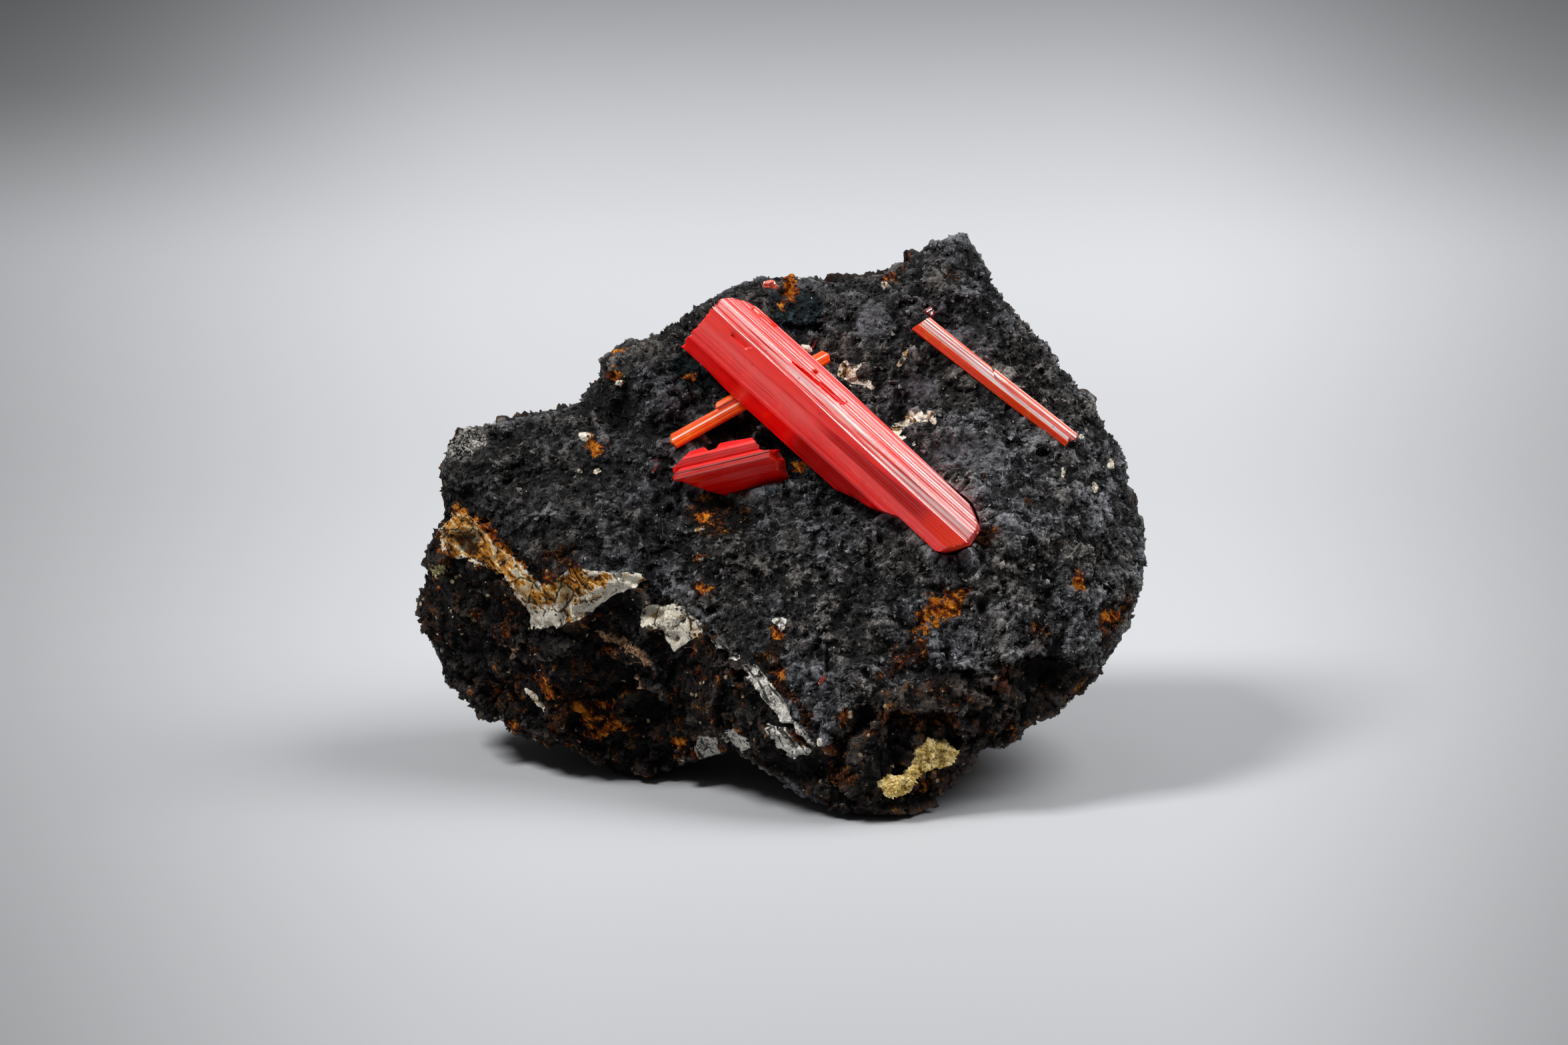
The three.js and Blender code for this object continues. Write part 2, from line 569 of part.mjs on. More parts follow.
function finish(color, roughness, extra = {}) {
  return new THREE.MeshStandardMaterial({ color, roughness, metalness: 0, flatShading: true, ...extra });
}

const gossan = finish(0x2b2a2c, 0.9);
const crocoite = finish(0xe01c14, 0.18);
const orangeCrocoite = finish(0xf04a12, 0.2);
const darkCrocoite = finish(0x8c120c, 0.3);
const coral = finish(0xe0765c, 0.4);
const paleYellow = finish(0xcbbe7c, 0.8);

const seated = [
  crystal('large_crystal', LARGE_CRYSTAL, crocoite, largeCrystal),
  crystal('crossing_crystal', CROSSING_CRYSTAL, orangeCrocoite, joined(CROSSING_CRYSTAL, CROSSING_ROD)),
  crystal('broken_crystal', BROKEN_CRYSTAL, crocoite, joined(BROKEN_CRYSTAL, BROKEN_REAR)),
  crystal('thin_crystal', THIN_CRYSTAL, orangeCrocoite, joined(THIN_CRYSTAL, THIN_ROD)),
  crystal('coral_chip', CORAL_CHIP, coral, (extra) => prism(CORAL_CHIP, extra)),
  crystal('dark_red_chip', DARK_RED_CHIP, darkCrocoite, (extra) => prism(DARK_RED_CHIP, extra)),
  crystal('red_sliver', RED_SLIVER, darkCrocoite, (extra) => prism(RED_SLIVER, extra)),
  yellowCrust(paleYellow),
];

// The rock, cut off flat at the ground under its feet and pocketed for all that grew on it.
function matrixMesh() {
  const { width, depth } = GROUND_BLOCK;
  const ground = new THREE.BoxGeometry(width, width, depth).translate(0, 0, -depth / 2);
  let solid = toSolid(rockGeometry()).subtract(toSolid(ground));
  seated.forEach(({ pocket }) => {
    solid = solid.subtract(pocket);
  });
  const mesh = new THREE.Mesh(toGeometry(solid), gossan);
  mesh.name = 'matrix';
  return mesh;
}

const group = new THREE.Group();
group.add(matrixMesh(), ...seated.map(({ mesh }) => mesh));

// Origin: on the ground, at the middle of the footprint box.
const box = new THREE.Box3().setFromObject(group, true);
group.position.set(-(box.min.x + box.max.x) / 2, -(box.min.y + box.max.y) / 2, -box.min.z);

export default group;
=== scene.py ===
"""The looks of a hand specimen of crocoite: red striated prisms on a loose piece of dark gossan.

Shapes are worked out in millimetres and made into meshes in metres. Places on the front of the
rock are pixels of the 2352 x 1568 picture that the camera takes (x right, y down), or face
coordinates (u right, v up the leaning front, w out of it), as in the model's own source.
"""

import json
import math

import bmesh
import bpy
import numpy as np
from mathutils import Matrix, Vector
from mathutils.bvhtree import BVHTree

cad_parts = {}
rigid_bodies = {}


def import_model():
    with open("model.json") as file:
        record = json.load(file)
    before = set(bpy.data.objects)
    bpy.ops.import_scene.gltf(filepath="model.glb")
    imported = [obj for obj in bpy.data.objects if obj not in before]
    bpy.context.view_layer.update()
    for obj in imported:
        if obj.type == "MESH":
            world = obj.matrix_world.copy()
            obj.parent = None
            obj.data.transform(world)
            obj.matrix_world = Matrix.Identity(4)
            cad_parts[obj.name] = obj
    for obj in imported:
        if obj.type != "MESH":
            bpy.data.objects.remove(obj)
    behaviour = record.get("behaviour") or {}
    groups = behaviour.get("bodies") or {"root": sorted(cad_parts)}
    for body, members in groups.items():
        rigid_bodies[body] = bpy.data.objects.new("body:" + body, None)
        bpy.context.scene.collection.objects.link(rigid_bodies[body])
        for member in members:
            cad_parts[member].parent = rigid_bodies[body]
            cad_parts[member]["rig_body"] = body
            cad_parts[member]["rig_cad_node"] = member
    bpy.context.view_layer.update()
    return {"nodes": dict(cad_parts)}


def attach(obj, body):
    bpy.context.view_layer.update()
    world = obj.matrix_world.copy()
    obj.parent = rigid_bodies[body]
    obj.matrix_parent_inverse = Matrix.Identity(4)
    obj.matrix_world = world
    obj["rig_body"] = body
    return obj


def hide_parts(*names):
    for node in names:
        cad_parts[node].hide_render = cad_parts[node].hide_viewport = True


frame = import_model()

MM = 0.001

# ---- the leaning face and the picture

LEAN = math.radians(15)
FACE_U = np.array([1.0, 0.0, 0.0])
FACE_V = np.array([0.0, math.sin(LEAN), math.cos(LEAN)])
FACE_W = np.array([0.0, -math.cos(LEAN), math.sin(LEAN)])
FACE_ORIGIN = np.array([0.333, -19.436, 0.0])  # ground contact of the front foot

PICTURE = (2352, 1568)
LENS = 100.0
SENSOR = 36.0
DISTANCE = 450.8
AIM = (-0.38, 30.15, -10.0)  # face coordinates of the middle of the picture
PIXELS_PER_SLOPE = PICTURE[0] * LENS / SENSOR


def from_face(u, v, w):
    return FACE_ORIGIN + u * FACE_U + v * FACE_V + w * FACE_W


CAMERA_PLACE = from_face(*AIM) + DISTANCE * FACE_W


def picture_places(points):
    """Where points show in the picture, in pixels."""
    seen = points - CAMERA_PLACE
    depth = -(seen @ FACE_W)
    x = PICTURE[0] / 2 + PIXELS_PER_SLOPE * (seen @ FACE_U) / depth
    y = PICTURE[1] / 2 - PIXELS_PER_SLOPE * (seen @ FACE_V) / depth
    return np.stack([x, y], -1)


# ---- noise

CORNERS = [np.array([i, j, k]) for i in (0, 1) for j in (0, 1) for k in (0, 1)]
AROUND = [np.array([i, j, k]) for i in (-1, 0, 1) for j in (-1, 0, 1) for k in (-1, 0, 1)]
HASH_STRIDES = (73856093, 19349663, 83492791)
HASH_TURNS = (2654435761, 2246822519, 3266489917)
HASH_MASK = 0xFFFFFFFF
HASH_SEED = 374761393
HASH_SHIFTS = (15, 13)


def scrambled(cells, seed):
    """Three numbers from 0 to 1 for each whole-numbered cell, the same on every run."""
    whole = cells.astype(np.int64)
    code = np.full(whole.shape[:-1], (seed + 1) * HASH_SEED, np.int64)
    for axis, stride in enumerate(HASH_STRIDES):
        code = code ^ (whole[..., axis] * stride)
    code &= HASH_MASK
    numbers = []
    for turn in HASH_TURNS:
        code = ((code ^ (code >> HASH_SHIFTS[0])) * (turn >> 1)) & HASH_MASK
        code ^= code >> HASH_SHIFTS[1]
        numbers.append(code / HASH_MASK)
    return np.stack(numbers, -1)


def perlin(points, size, seed=0):
    """Smooth noise from about -1 to 1, in lumps `size` across."""
    scaled = points / size
    cell = np.floor(scaled)
    inside = scaled - cell
    fade = inside**3 * (inside * (inside * 6 - 15) + 10)
    total = np.zeros(len(points))
    for corner in CORNERS:
        slope = scrambled(cell + corner, seed) * 2 - 1
        weight = np.prod(np.where(corner == 1, fade, 1 - fade), axis=-1)
        total += weight * np.sum(slope * (inside - corner), axis=-1)
    return 1.7 * total


def worley(points, size, seed=0):
    """How far the nearest and the next of seeds scattered `size` apart are, as shares of `size`."""
    scaled = points / size
    cell = np.floor(scaled)
    nearest = np.full(len(points), np.inf)
    second = nearest.copy()
    for step in AROUND:
        seeds = cell + step + scrambled(cell + step, seed)
        distance = np.linalg.norm(seeds - scaled, axis=-1)
        second = np.minimum(second, np.maximum(nearest, distance))
        nearest = np.minimum(nearest, distance)
    return nearest, second


def facets(points, size, seed=0):
    """Flat faces `size` across that each lean their own way, from about -1 to 1."""
    scaled = points / size
    cell = np.floor(scaled)
    nearest = np.full(len(points), np.inf)
    height = np.zeros(len(points))
    for step in AROUND:
        away = scaled - (cell + step + scrambled(cell + step, seed))
        distance = np.linalg.norm(away, axis=-1)
        lean = scrambled(cell + step, seed + 100) * 2 - 1
        closer = distance < nearest
        height = np.where(closer, np.sum(away * lean, axis=-1) * 1.6 + 0.5 * lean[..., 0], height)
        nearest = np.where(closer, distance, nearest)
    return height


def fractal(points, layers, seed=0):
    """Noise added up over layers of (size, height)."""
    total = np.zeros(len(points))
    for i, (size, height) in enumerate(layers):
        total += height * perlin(points, size, seed + i)
    return total


def smoothstep(x, low, high):
    share = np.clip((x - low) / (high - low), 0, 1)
    return share * share * (3 - 2 * share)


# ---- small mesh helpers


def new_piece(name, vertices, faces, smooth=True):
    """A mesh object from places in millimetres."""
    mesh = bpy.data.meshes.new(name)
    mesh.from_pydata((np.asarray(vertices) * MM).tolist(), [], faces)
    mesh.validate()
    piece = bpy.data.objects.new(name, mesh)
    bpy.context.scene.collection.objects.link(piece)
    mesh.polygons.foreach_set("use_smooth", np.full(len(mesh.polygons), smooth))
    return piece


def places_of(mesh):
    places = np.zeros(len(mesh.vertices) * 3)
    mesh.vertices.foreach_get("co", places)
    return places.reshape(-1, 3) / MM


def set_places(mesh, places):
    mesh.vertices.foreach_set("co", (places * MM).ravel())
    mesh.update()


def normals_of(mesh):
    normals = np.zeros(len(mesh.vertices) * 3)
    mesh.vertex_normals.foreach_get("vector", normals)
    return normals.reshape(-1, 3)


def with_modifier(piece, kind, **settings):
    """Puts a modifier's result in the piece's own mesh."""
    modifier = piece.modifiers.new(kind.title(), kind)
    for key, value in settings.items():
        setattr(modifier, key, value)
    evaluated = piece.evaluated_get(bpy.context.evaluated_depsgraph_get())
    done = bpy.data.meshes.new_from_object(evaluated)
    piece.modifiers.clear()
    old = piece.data
    piece.data = done
    bpy.data.meshes.remove(old)
    return piece


def shade(mesh, sharp):
    """Smooth shading, with edges that turn more than `sharp` left crisp."""
    mesh.polygons.foreach_set("use_smooth", np.full(len(mesh.polygons), True))
    mesh.set_sharp_from_angle(angle=sharp)


def wear(piece, material):
    """Gives a piece one material in place of those it has."""
    piece.data.materials.clear()
    piece.data.materials.append(material)


def tree_of(piece):
    """A search tree of a piece's faces, in millimetres."""
    sides = [tuple(polygon.vertices) for polygon in piece.data.polygons]
    return BVHTree.FromPolygons([Vector(place) for place in places_of(piece.data)], sides)


def ring_faces(rings, count):
    """The four-sided faces between rings of `count` corners each."""
    faces = []
    for low in range(0, (rings - 1) * count, count):
        for i in range(count):
            j = (i + 1) % count
            faces.append((low + i, low + j, low + count + j, low + count + i))
    return faces


def store(mesh, name, values):
    layer = mesh.attributes.new(name, "FLOAT", "POINT")
    layer.data.foreach_set("value", values.astype(np.float32))


def nearest_on(tree, points, reach):
    """For each point near a surface: its nearest place there, and how far outside the point is."""
    found = points.copy()
    gap = np.full(len(points), np.inf)
    for i, point in enumerate(points * MM):
        place, normal, _, distance = tree.find_nearest(point, reach * MM)
        if place is None:
            continue
        side = 1 if (Vector(point) - place).dot(normal) > 0 else -1
        found[i] = np.array(place) / MM
        gap[i] = side * distance / MM
    return found, gap


# ---- the rock: what shows where

# What shows on the front of the rock: for each mineral, how soft the edges of its outlines are in
# pixels, their share of EDGE_WANDER, and the outlines, as pixels of the picture.
PATCHES = {
    "cream": (5, 0.45, {
        "vein": [(658, 805), (660, 785), (680, 768), (700, 770), (720, 795), (745, 825), (770, 840),
        (800, 870), (815, 880), (850, 855), (880, 853), (930, 862), (960, 858), (972, 870), (950, 882),
        (920, 895), (880, 922), (840, 938), (797, 938), (790, 920), (765, 880), (740, 855), (700, 838),
        (685, 840), (670, 825)],
        "plate": [(962, 913), (975, 908), (1005, 905), (1020, 910), (1040, 925), (1055, 940), (1055, 950),
        (1030, 965), (1012, 978), (1000, 960), (990, 945), (985, 935), (965, 938)],
        "kite": [(1256, 567), (1262, 542), (1270, 540), (1280, 551), (1300, 545), (1284, 559), (1290, 577),
        (1270, 573)],
        "lobe": [(1286, 576), (1295, 573), (1307, 573), (1312, 581), (1305, 584)],
        "wing": [(1343, 638), (1345, 632), (1367, 617), (1383, 617), (1392, 628), (1393, 633), (1377, 636),
        (1357, 642)],
        "right wing": [(1391, 617), (1402, 620), (1407, 635), (1400, 638), (1395, 628)],
        "tail": [(1336, 641), (1343, 637), (1353, 646), (1360, 658), (1354, 661), (1342, 652)],
        "streak": [(1344, 548), (1349, 537), (1366, 526), (1358, 539), (1349, 549)],
        "shoulder fleck": [(868, 652), (884, 648), (890, 656), (880, 664), (870, 661)],
        "low streak": [(786, 1034), (798, 1040), (818, 1064), (814, 1072), (797, 1056)],
    }),
    "ochre": (12, 1.6, {
        "vein": [(662, 806), (660, 782), (682, 764), (704, 766), (722, 788), (748, 818), (778, 846),
        (806, 876), (830, 862), (862, 850), (900, 858), (926, 866), (908, 884), (872, 900), (838, 908),
        (806, 906), (784, 908), (762, 876), (738, 852), (704, 836), (678, 836)],
        "shoulder": [(885, 660), (900, 655), (912, 664), (904, 676), (888, 674)],
        "top": [(1168, 408), (1192, 402), (1204, 410), (1196, 430), (1186, 452), (1166, 462), (1180, 440)],
        "trough": [(1392, 895), (1420, 882), (1450, 884), (1442, 905), (1420, 925), (1392, 935),
        (1376, 950), (1384, 920)],
        "lower left": [(800, 1010), (820, 1004), (838, 1025), (832, 1046), (812, 1040)],
        "glow": [(862, 1066), (884, 1062), (890, 1082), (870, 1088)],
        "right glow": [(900, 1082), (925, 1078), (942, 1094), (922, 1104), (902, 1100)],
        "flakes": [(1048, 780), (1060, 770), (1070, 774), (1058, 792), (1046, 790)],
    }),
    "rust": (20, 1.8, {
        "trough": [(1392, 930), (1400, 955), (1385, 985), (1360, 1010), (1325, 1030), (1322, 1010),
        (1345, 975), (1372, 942)],
        "above vein": [(812, 822), (836, 812), (858, 826), (872, 852), (850, 858), (826, 850)],
        "edge": [(1644, 940), (1680, 905), (1714, 868), (1714, 892), (1684, 950), (1652, 976)],
        "under edge": [(1545, 925), (1575, 932), (1568, 962), (1545, 960)],
        "face": [(1490, 1000), (1530, 1000), (1528, 1040), (1500, 1055)],
        "band": [(1310, 1072), (1380, 1066), (1440, 1078), (1440, 1098), (1370, 1096), (1312, 1100)],
        "hollow": [(1030, 735), (1070, 742), (1125, 742), (1120, 762), (1092, 800), (1062, 806),
        (1034, 792)],
        "trail": [(1040, 872), (1072, 866), (1082, 878), (1066, 892), (1044, 896)],
        "low brown": [(786, 1008), (830, 1000), (850, 1036), (900, 1062), (950, 1080), (992, 1098),
        (985, 1112), (920, 1107), (862, 1088), (806, 1062)],
        "left brown": [(735, 868), (770, 890), (794, 925), (770, 930), (745, 905), (728, 880)],
        "right brown": [(1130, 985), (1165, 990), (1210, 1050), (1240, 1100), (1215, 1105), (1165, 1040)],
    }),
    "quartz": (5, 0.4, {
        "left": [(1046, 1104), (1068, 1098), (1082, 1110), (1078, 1140), (1054, 1146), (1044, 1126)],
        "right": [(1086, 1094), (1112, 1090), (1132, 1112), (1122, 1126), (1096, 1120)],
        "white vein": [(1116, 994), (1130, 998), (1156, 1022), (1177, 1054), (1188, 1084), (1172, 1086),
        (1151, 1060), (1134, 1030)],
        "low white vein": [(1150, 1090), (1178, 1094), (1196, 1118), (1216, 1128), (1210, 1138),
        (1184, 1140), (1164, 1124)],
        "right white vein": [(1184, 1080), (1198, 1088), (1222, 1118), (1214, 1122), (1196, 1104)],
        "shard": [(1064, 958), (1080, 960), (1104, 978), (1112, 988), (1092, 984), (1074, 974)],
    }),
    "tan": (5, 0.4, {
        "sliver": [(892, 942), (922, 950), (962, 972), (990, 998), (952, 981), (912, 960)],
        "low sliver": [(952, 1008), (962, 1012), (972, 1032), (964, 1030)],
    }),
}

# Small spots: (x, y, half-width, half-height), in pixels.
SPOTS = {
    "cream": [
        (928, 573, 7, 4), (896, 710, 6, 5), (870, 710, 4, 3), (1207, 522, 8, 4), (1328, 427, 6, 4),
        (1592, 710, 3, 8), (1640, 735, 4, 9), (1665, 695, 4, 8), (1620, 655, 4, 5), (1052, 796, 8, 3),
        (1228, 1114, 6, 7), (1278, 1072, 5, 6), (1052, 838, 5, 3), (1046, 796, 6, 3),
    ],
    "ochre": [
        (923, 529, 12, 5), (922, 562, 10, 6), (1037, 565, 10, 6), (1331, 413, 10, 6), (1202, 698, 12, 6),
        (1270, 1076, 8, 13), (1060, 882, 13, 5), (1050, 836, 8, 5), (1615, 875, 8, 13), (1168, 950, 8, 10),
        (1388, 1186, 14, 12), (1014, 1118, 12, 7), (1052, 1132, 10, 14), (880, 1100, 9, 5),
        (1196, 1110, 9, 14), (1172, 1010, 8, 10), (770, 1090, 10, 6), (905, 1060, 10, 5), (1668, 925, 12, 10),
    ],
    "rust": [
        (1430, 412, 11, 13), (1355, 398, 7, 8), (1542, 752, 9, 9), (1480, 806, 24, 14),
        (1162, 968, 14, 20), (1270, 1165, 22, 14), (1170, 940, 18, 12), (770, 1020, 20, 12),
        (1250, 1120, 20, 16), (1560, 1010, 26, 12),
    ],
    "quartz": [(1168, 930, 11, 6), (1172, 938, 5, 9), (1372, 668, 3, 3), (1428, 745, 2, 2), (766, 986, 3, 6)],
    "tan": [(712, 930, 4, 4), (764, 985, 4, 8), (774, 972, 3, 6)],
}

# Wider areas: how soft their edges are, and an outline or spots, in pixels.
AREA_OUTLINES = {
    # The broken lower face: dark brown fracture, painted darker than the rock above it partly as painted
    # shade of faces that turn down.
    "broken": (16, [(600, 745), (680, 760), (740, 800), (820, 850), (970, 870), (1050, 930), (1110, 985),
        (1150, 1020), (1180, 1070), (1245, 1140), (1250, 1100), (1300, 1050), (1400, 1010), (1500, 1010),
        (1540, 985), (1620, 1000), (1800, 1000), (1800, 1400), (600, 1400)]),
    "horn": (8, [(672, 650), (700, 640), (726, 652), (724, 668), (700, 682), (672, 690)]),
}
AREA_SPOTS = {
    "teal": (12, [(1045, 555, 45, 35), (1195, 465, 45, 45), (1150, 700, 50, 40)]),
    "grey": (12, [(1310, 480, 28, 26), (1385, 580, 26, 24), (1450, 680, 60, 28), (1430, 500, 30, 20)]),
    # The deep hollows below are sunk into the rock and painted near-black, as painted shade.
    "dark": (12, [(925, 620, 22, 22), (1160, 672, 42, 30), (1090, 755, 30, 12), (1350, 620, 11, 16),
        (1520, 538, 22, 8), (1377, 398, 8, 8), (1360, 935, 16, 14), (1560, 1005, 46, 24),
        (1420, 1010, 50, 14), (1100, 775, 26, 16), (945, 915, 34, 12), (1062, 712, 40, 10),
        (1200, 1160, 60, 20), (1010, 640, 30, 14), (1090, 640, 40, 18), (1340, 1130, 24, 18),
        (1230, 985, 20, 16), (720, 980, 40, 14), (1000, 1060, 30, 14)]),
    "sulphur": (5, [(661, 857, 9, 8)]),
    "pit": (6, [(702, 816, 18, 18), (848, 905, 3, 20), (1022, 935, 4, 4), (1012, 960, 4, 4)]),
}


def outline_distance(outline, places):
    """How far picture places lie outside an outline, in pixels; negative inside."""
    corners = np.array(outline, float)
    nearest = np.full(len(places), np.inf)
    inside = np.zeros(len(places), bool)
    for a, b in zip(corners, np.roll(corners, -1, axis=0)):
        edge = b - a
        share = np.clip((places - a) @ edge / (edge @ edge), 0, 1)
        nearest = np.minimum(nearest, np.linalg.norm(places - a - share[:, None] * edge, axis=1))
        crosses = (a[1] > places[:, 1]) != (b[1] > places[:, 1])
        rise = edge[1] if edge[1] else 1.0
        inside ^= crosses & (places[:, 0] < edge[0] * (places[:, 1] - a[1]) / rise + a[0])
    return np.where(inside, -nearest, nearest)


def spot_distance(spot, places):
    """How far picture places lie outside an oval spot, in pixels; negative inside."""
    x, y, half_width, half_height = spot
    reach = np.hypot((places[:, 0] - x) / half_width, (places[:, 1] - y) / half_height)
    return (reach - 1) * min(half_width, half_height)


def closest(distance, shapes, places):
    """How far picture places lie outside the nearest of several shapes."""
    return np.minimum.reduce([distance(shape, places) for shape in shapes])


def shown(distance, soft):
    """1 well inside, one half on the outline and 0 well outside."""
    return np.clip(0.5 - distance / (2 * soft), 0, 1)


# ---- the rock: its mesh

VOXEL = 0.62  # the grain of the rock's mesh, before its front is divided once more
FRONT_TURN = -0.15  # faces turned further from the camera than this stay coarse
HUG_REACH = 0.95  # rock this near a crystal closes up to it
HUG_DEPTH = 0.05  # and then reaches this far into it
HUG_SEARCH = 1.4
WELD = 1e-7  # corners nearer than this many metres are one


def subdivide_front(mesh):
    """Halves the edges of the side that faces the camera."""
    facing = normals_of(mesh) @ FACE_W > FRONT_TURN
    work = bmesh.new()
    work.from_mesh(mesh)
    work.verts.ensure_lookup_table()
    edges = [e for e in work.edges if facing[e.verts[0].index] and facing[e.verts[1].index]]
    bmesh.ops.subdivide_edges(work, edges=edges, cuts=1, use_grid_fill=True)
    bmesh.ops.triangulate(work, faces=[f for f in work.faces if len(f.verts) > 4])
    work.to_mesh(mesh)
    work.free()


def smoothed(mesh, places, rounds, share):
    """Draws every vertex towards the middle of its neighbours."""
    edges = np.zeros(len(mesh.edges) * 2, int)
    mesh.edges.foreach_get("vertices", edges)
    a, b = edges.reshape(-1, 2).T
    count = np.bincount(edges, minlength=len(places))[:, None]
    for _ in range(rounds):
        total = np.zeros_like(places)
        np.add.at(total, a, places[b])
        np.add.at(total, b, places[a])
        places = places + share * (total / count - places)
    return places


KNOB_GAIN = 2.2
KNOB_TOP = 1.3
WALL_GAIN = 2.5


def billow(points, size, seed):
    """Round knobs parted by creases, from 0 in a crease to about 1 on a knob."""
    return np.minimum(np.abs(perlin(points, size, seed)) * KNOB_GAIN, KNOB_TOP)


def ridges(points, size, seed):
    """Thin walls round open pores, from 0 in a pore to 1 on a wall."""
    return 1 - np.minimum(np.abs(perlin(points, size, seed)) * WALL_GAIN, 1)


# How far the minerals' outlines wander, in pixels, over noise of (size in mm, height), and the
# share of it that small spots have, with the softness of their edges beside the outlines'.
EDGE_WANDER = 7.0
EDGE_LAYERS = ((2.6, 1.0), (1.2, 0.6), (0.6, 0.4))
SPOT_WANDER = 0.4
SPOT_SOFT = 0.6
# Where the rock turns to the camera, and where it turns away, by the share of its normal.
TOWARD = (0.0, 0.25)
BEHIND = (-0.5, -0.2)
# Minerals on the sides and back, where no picture shows them: how large their patches are in
# mm, and the height of noise above which they show, or how wide their veins are.
HIDDEN_PATCHES = {"broken": (13.0, 0.05), "rust": (7.0, 0.38), "ochre": (4.2, 0.62), "grey": (9.0, 0.3)}
HIDDEN_VEINS = {"cream": (11.0, 0.045), "quartz": (8.0, 0.03)}
HIDDEN_SOFT = 0.3  # how much further the noise has to rise for a patch to show in full


class RockSurface:
    """What shows at each vertex of the rock."""

    def __init__(self, mesh):
        self.places = places_of(mesh)
        facing = normals_of(mesh) @ FACE_W
        self.toward = smoothstep(facing, *TOWARD)
        wander = EDGE_WANDER * np.stack([fractal(self.places, EDGE_LAYERS, seed) for seed in (50, 60)], -1)
        plain = picture_places(self.places)
        self.share = {}
        for kind, (soft, reach, outlines) in PATCHES.items():
            patch = closest(outline_distance, outlines.values(), plain + reach * wander)
            spot = closest(spot_distance, SPOTS[kind], plain + SPOT_WANDER * wander)
            self.share[kind] = np.maximum(shown(patch, soft), shown(spot, SPOT_SOFT * soft)) * self.toward
        for kind, (soft, outline) in AREA_OUTLINES.items():
            self.share[kind] = shown(outline_distance(outline, plain + wander), soft) * self.toward
        for kind, (soft, spots) in AREA_SPOTS.items():
            self.share[kind] = shown(closest(spot_distance, spots, plain + wander), soft) * self.toward
        for i, (kind, (size, least)) in enumerate(HIDDEN_PATCHES.items()):
            here = smoothstep(perlin(self.places, size, 70 + i), least, least + HIDDEN_SOFT)
            self.share[kind] = np.maximum(self.share[kind], here * (1 - self.toward))
        behind = 1 - smoothstep(facing, *BEHIND)
        for i, (kind, (size, width)) in enumerate(HIDDEN_VEINS.items()):
            here = 1 - smoothstep(np.abs(perlin(self.places, size, 80 + i)), width, 2.5 * width)
            here = here * smoothstep(perlin(self.places, 1.3 * size, 90 + i), 0.1, 0.3)
            self.share[kind] = np.maximum(self.share[kind], here * behind)

    def pale(self):
        """Where either pale mineral shows."""
        return np.maximum(self.share["cream"], self.share["quartz"])


def warped(points, size, reach, seed):
    """Points moved about by noise, so that what is worked out from them looks grown."""
    return points + reach * np.stack([perlin(points, size, seed + i) for i in range(3)], -1)


# The rock's relief: layers of (size, height) in mm, how far apart its pores and plates are, and
# the height of what stands out and depth of what is sunk.
LUMPS = ((11.0, 0.6), (5.6, 0.62), (2.8, 0.24))
GRIT = ((1.3, 0.13), (0.75, 0.14), (0.5, 0.13))
PORE_SIZE = 4.4
PIT_DEPTH = 0.9
PLATE_SIZE = 4.6
CRACK_DEPTH = 0.35
CRACK_WIDTH = 0.07  # as a share of a plate
VEIN_HEIGHT = 0.3
CRUMB_HEIGHT = 0.3
SUNK = {"dark": 0.9, "pit": 0.8}


def rock_relief(points, surface):
    """How far the rock's skin stands out at each point: lumps, pores, pits and broken plates."""
    broad = warped(points, 3.4, 1.3, 31)
    close = warped(points, 1.3, 0.5, 34)
    lumps = fractal(broad, LUMPS, 1)
    nodules = 0.08 * (billow(broad, 2.4, 5) - 0.5) + 0.08 * (billow(close, 1.2, 6) - 0.5)
    nodules = nodules + 0.26 * facets(broad, 2.8, 18) + 0.15 * facets(close, 1.2, 19)
    walls = 0.13 * (ridges(close, 1.0, 7) ** 2 - 0.3)
    grit = fractal(points, GRIT, 8)
    pore, _ = worley(broad, PORE_SIZE, 12)
    pits = -PIT_DEPTH * smoothstep(0.2 - pore + 0.22 * perlin(points, 1.6, 17), 0, 0.22)
    porous = lumps + nodules + walls + grit + pits

    first, second = worley(broad, PLATE_SIZE, 13)
    plates = 0.8 * facets(broad, 5.6, 14) + 0.42 * facets(close, 2.3, 15)
    cracks = -CRACK_DEPTH * smoothstep(CRACK_WIDTH - (second - first), 0, CRACK_WIDTH)
    compact = 0.6 * lumps + plates + cracks + 0.3 * nodules + 0.9 * grit + 0.6 * walls
    flat = 0.25 * plates + 0.7 * grit + 0.3 * cracks

    share = surface.share
    calm = np.maximum(smoothstep(surface.pale(), 0.25, 0.75), 0.6 * share["grey"])
    relief = porous + smoothstep(share["broken"], 0.3, 0.7) * (compact - porous)
    relief = relief + calm * (flat - relief)
    raised = VEIN_HEIGHT * smoothstep(share["cream"], 0.35, 0.65)
    raised = raised * (1 - smoothstep(share["broken"], 0.4, 0.7))
    sunk = SUNK["dark"] * share["dark"] + SUNK["pit"] * share["pit"]
    crumbs = CRUMB_HEIGHT * share["sulphur"] * billow(points, 0.8, 16)
    return relief + raised - sunk + crumbs


def crystal_gap(places, reach):
    """For each place near what grew on the rock: the nearest place there, and how far outside it is."""
    work = bmesh.new()
    for name, node in frame["nodes"].items():
        if name != "matrix":
            work.from_mesh(node.data)
    bmesh.ops.remove_doubles(work, verts=work.verts, dist=WELD)
    tree = BVHTree.FromBMesh(work)
    work.free()
    return nearest_on(tree, places, reach)


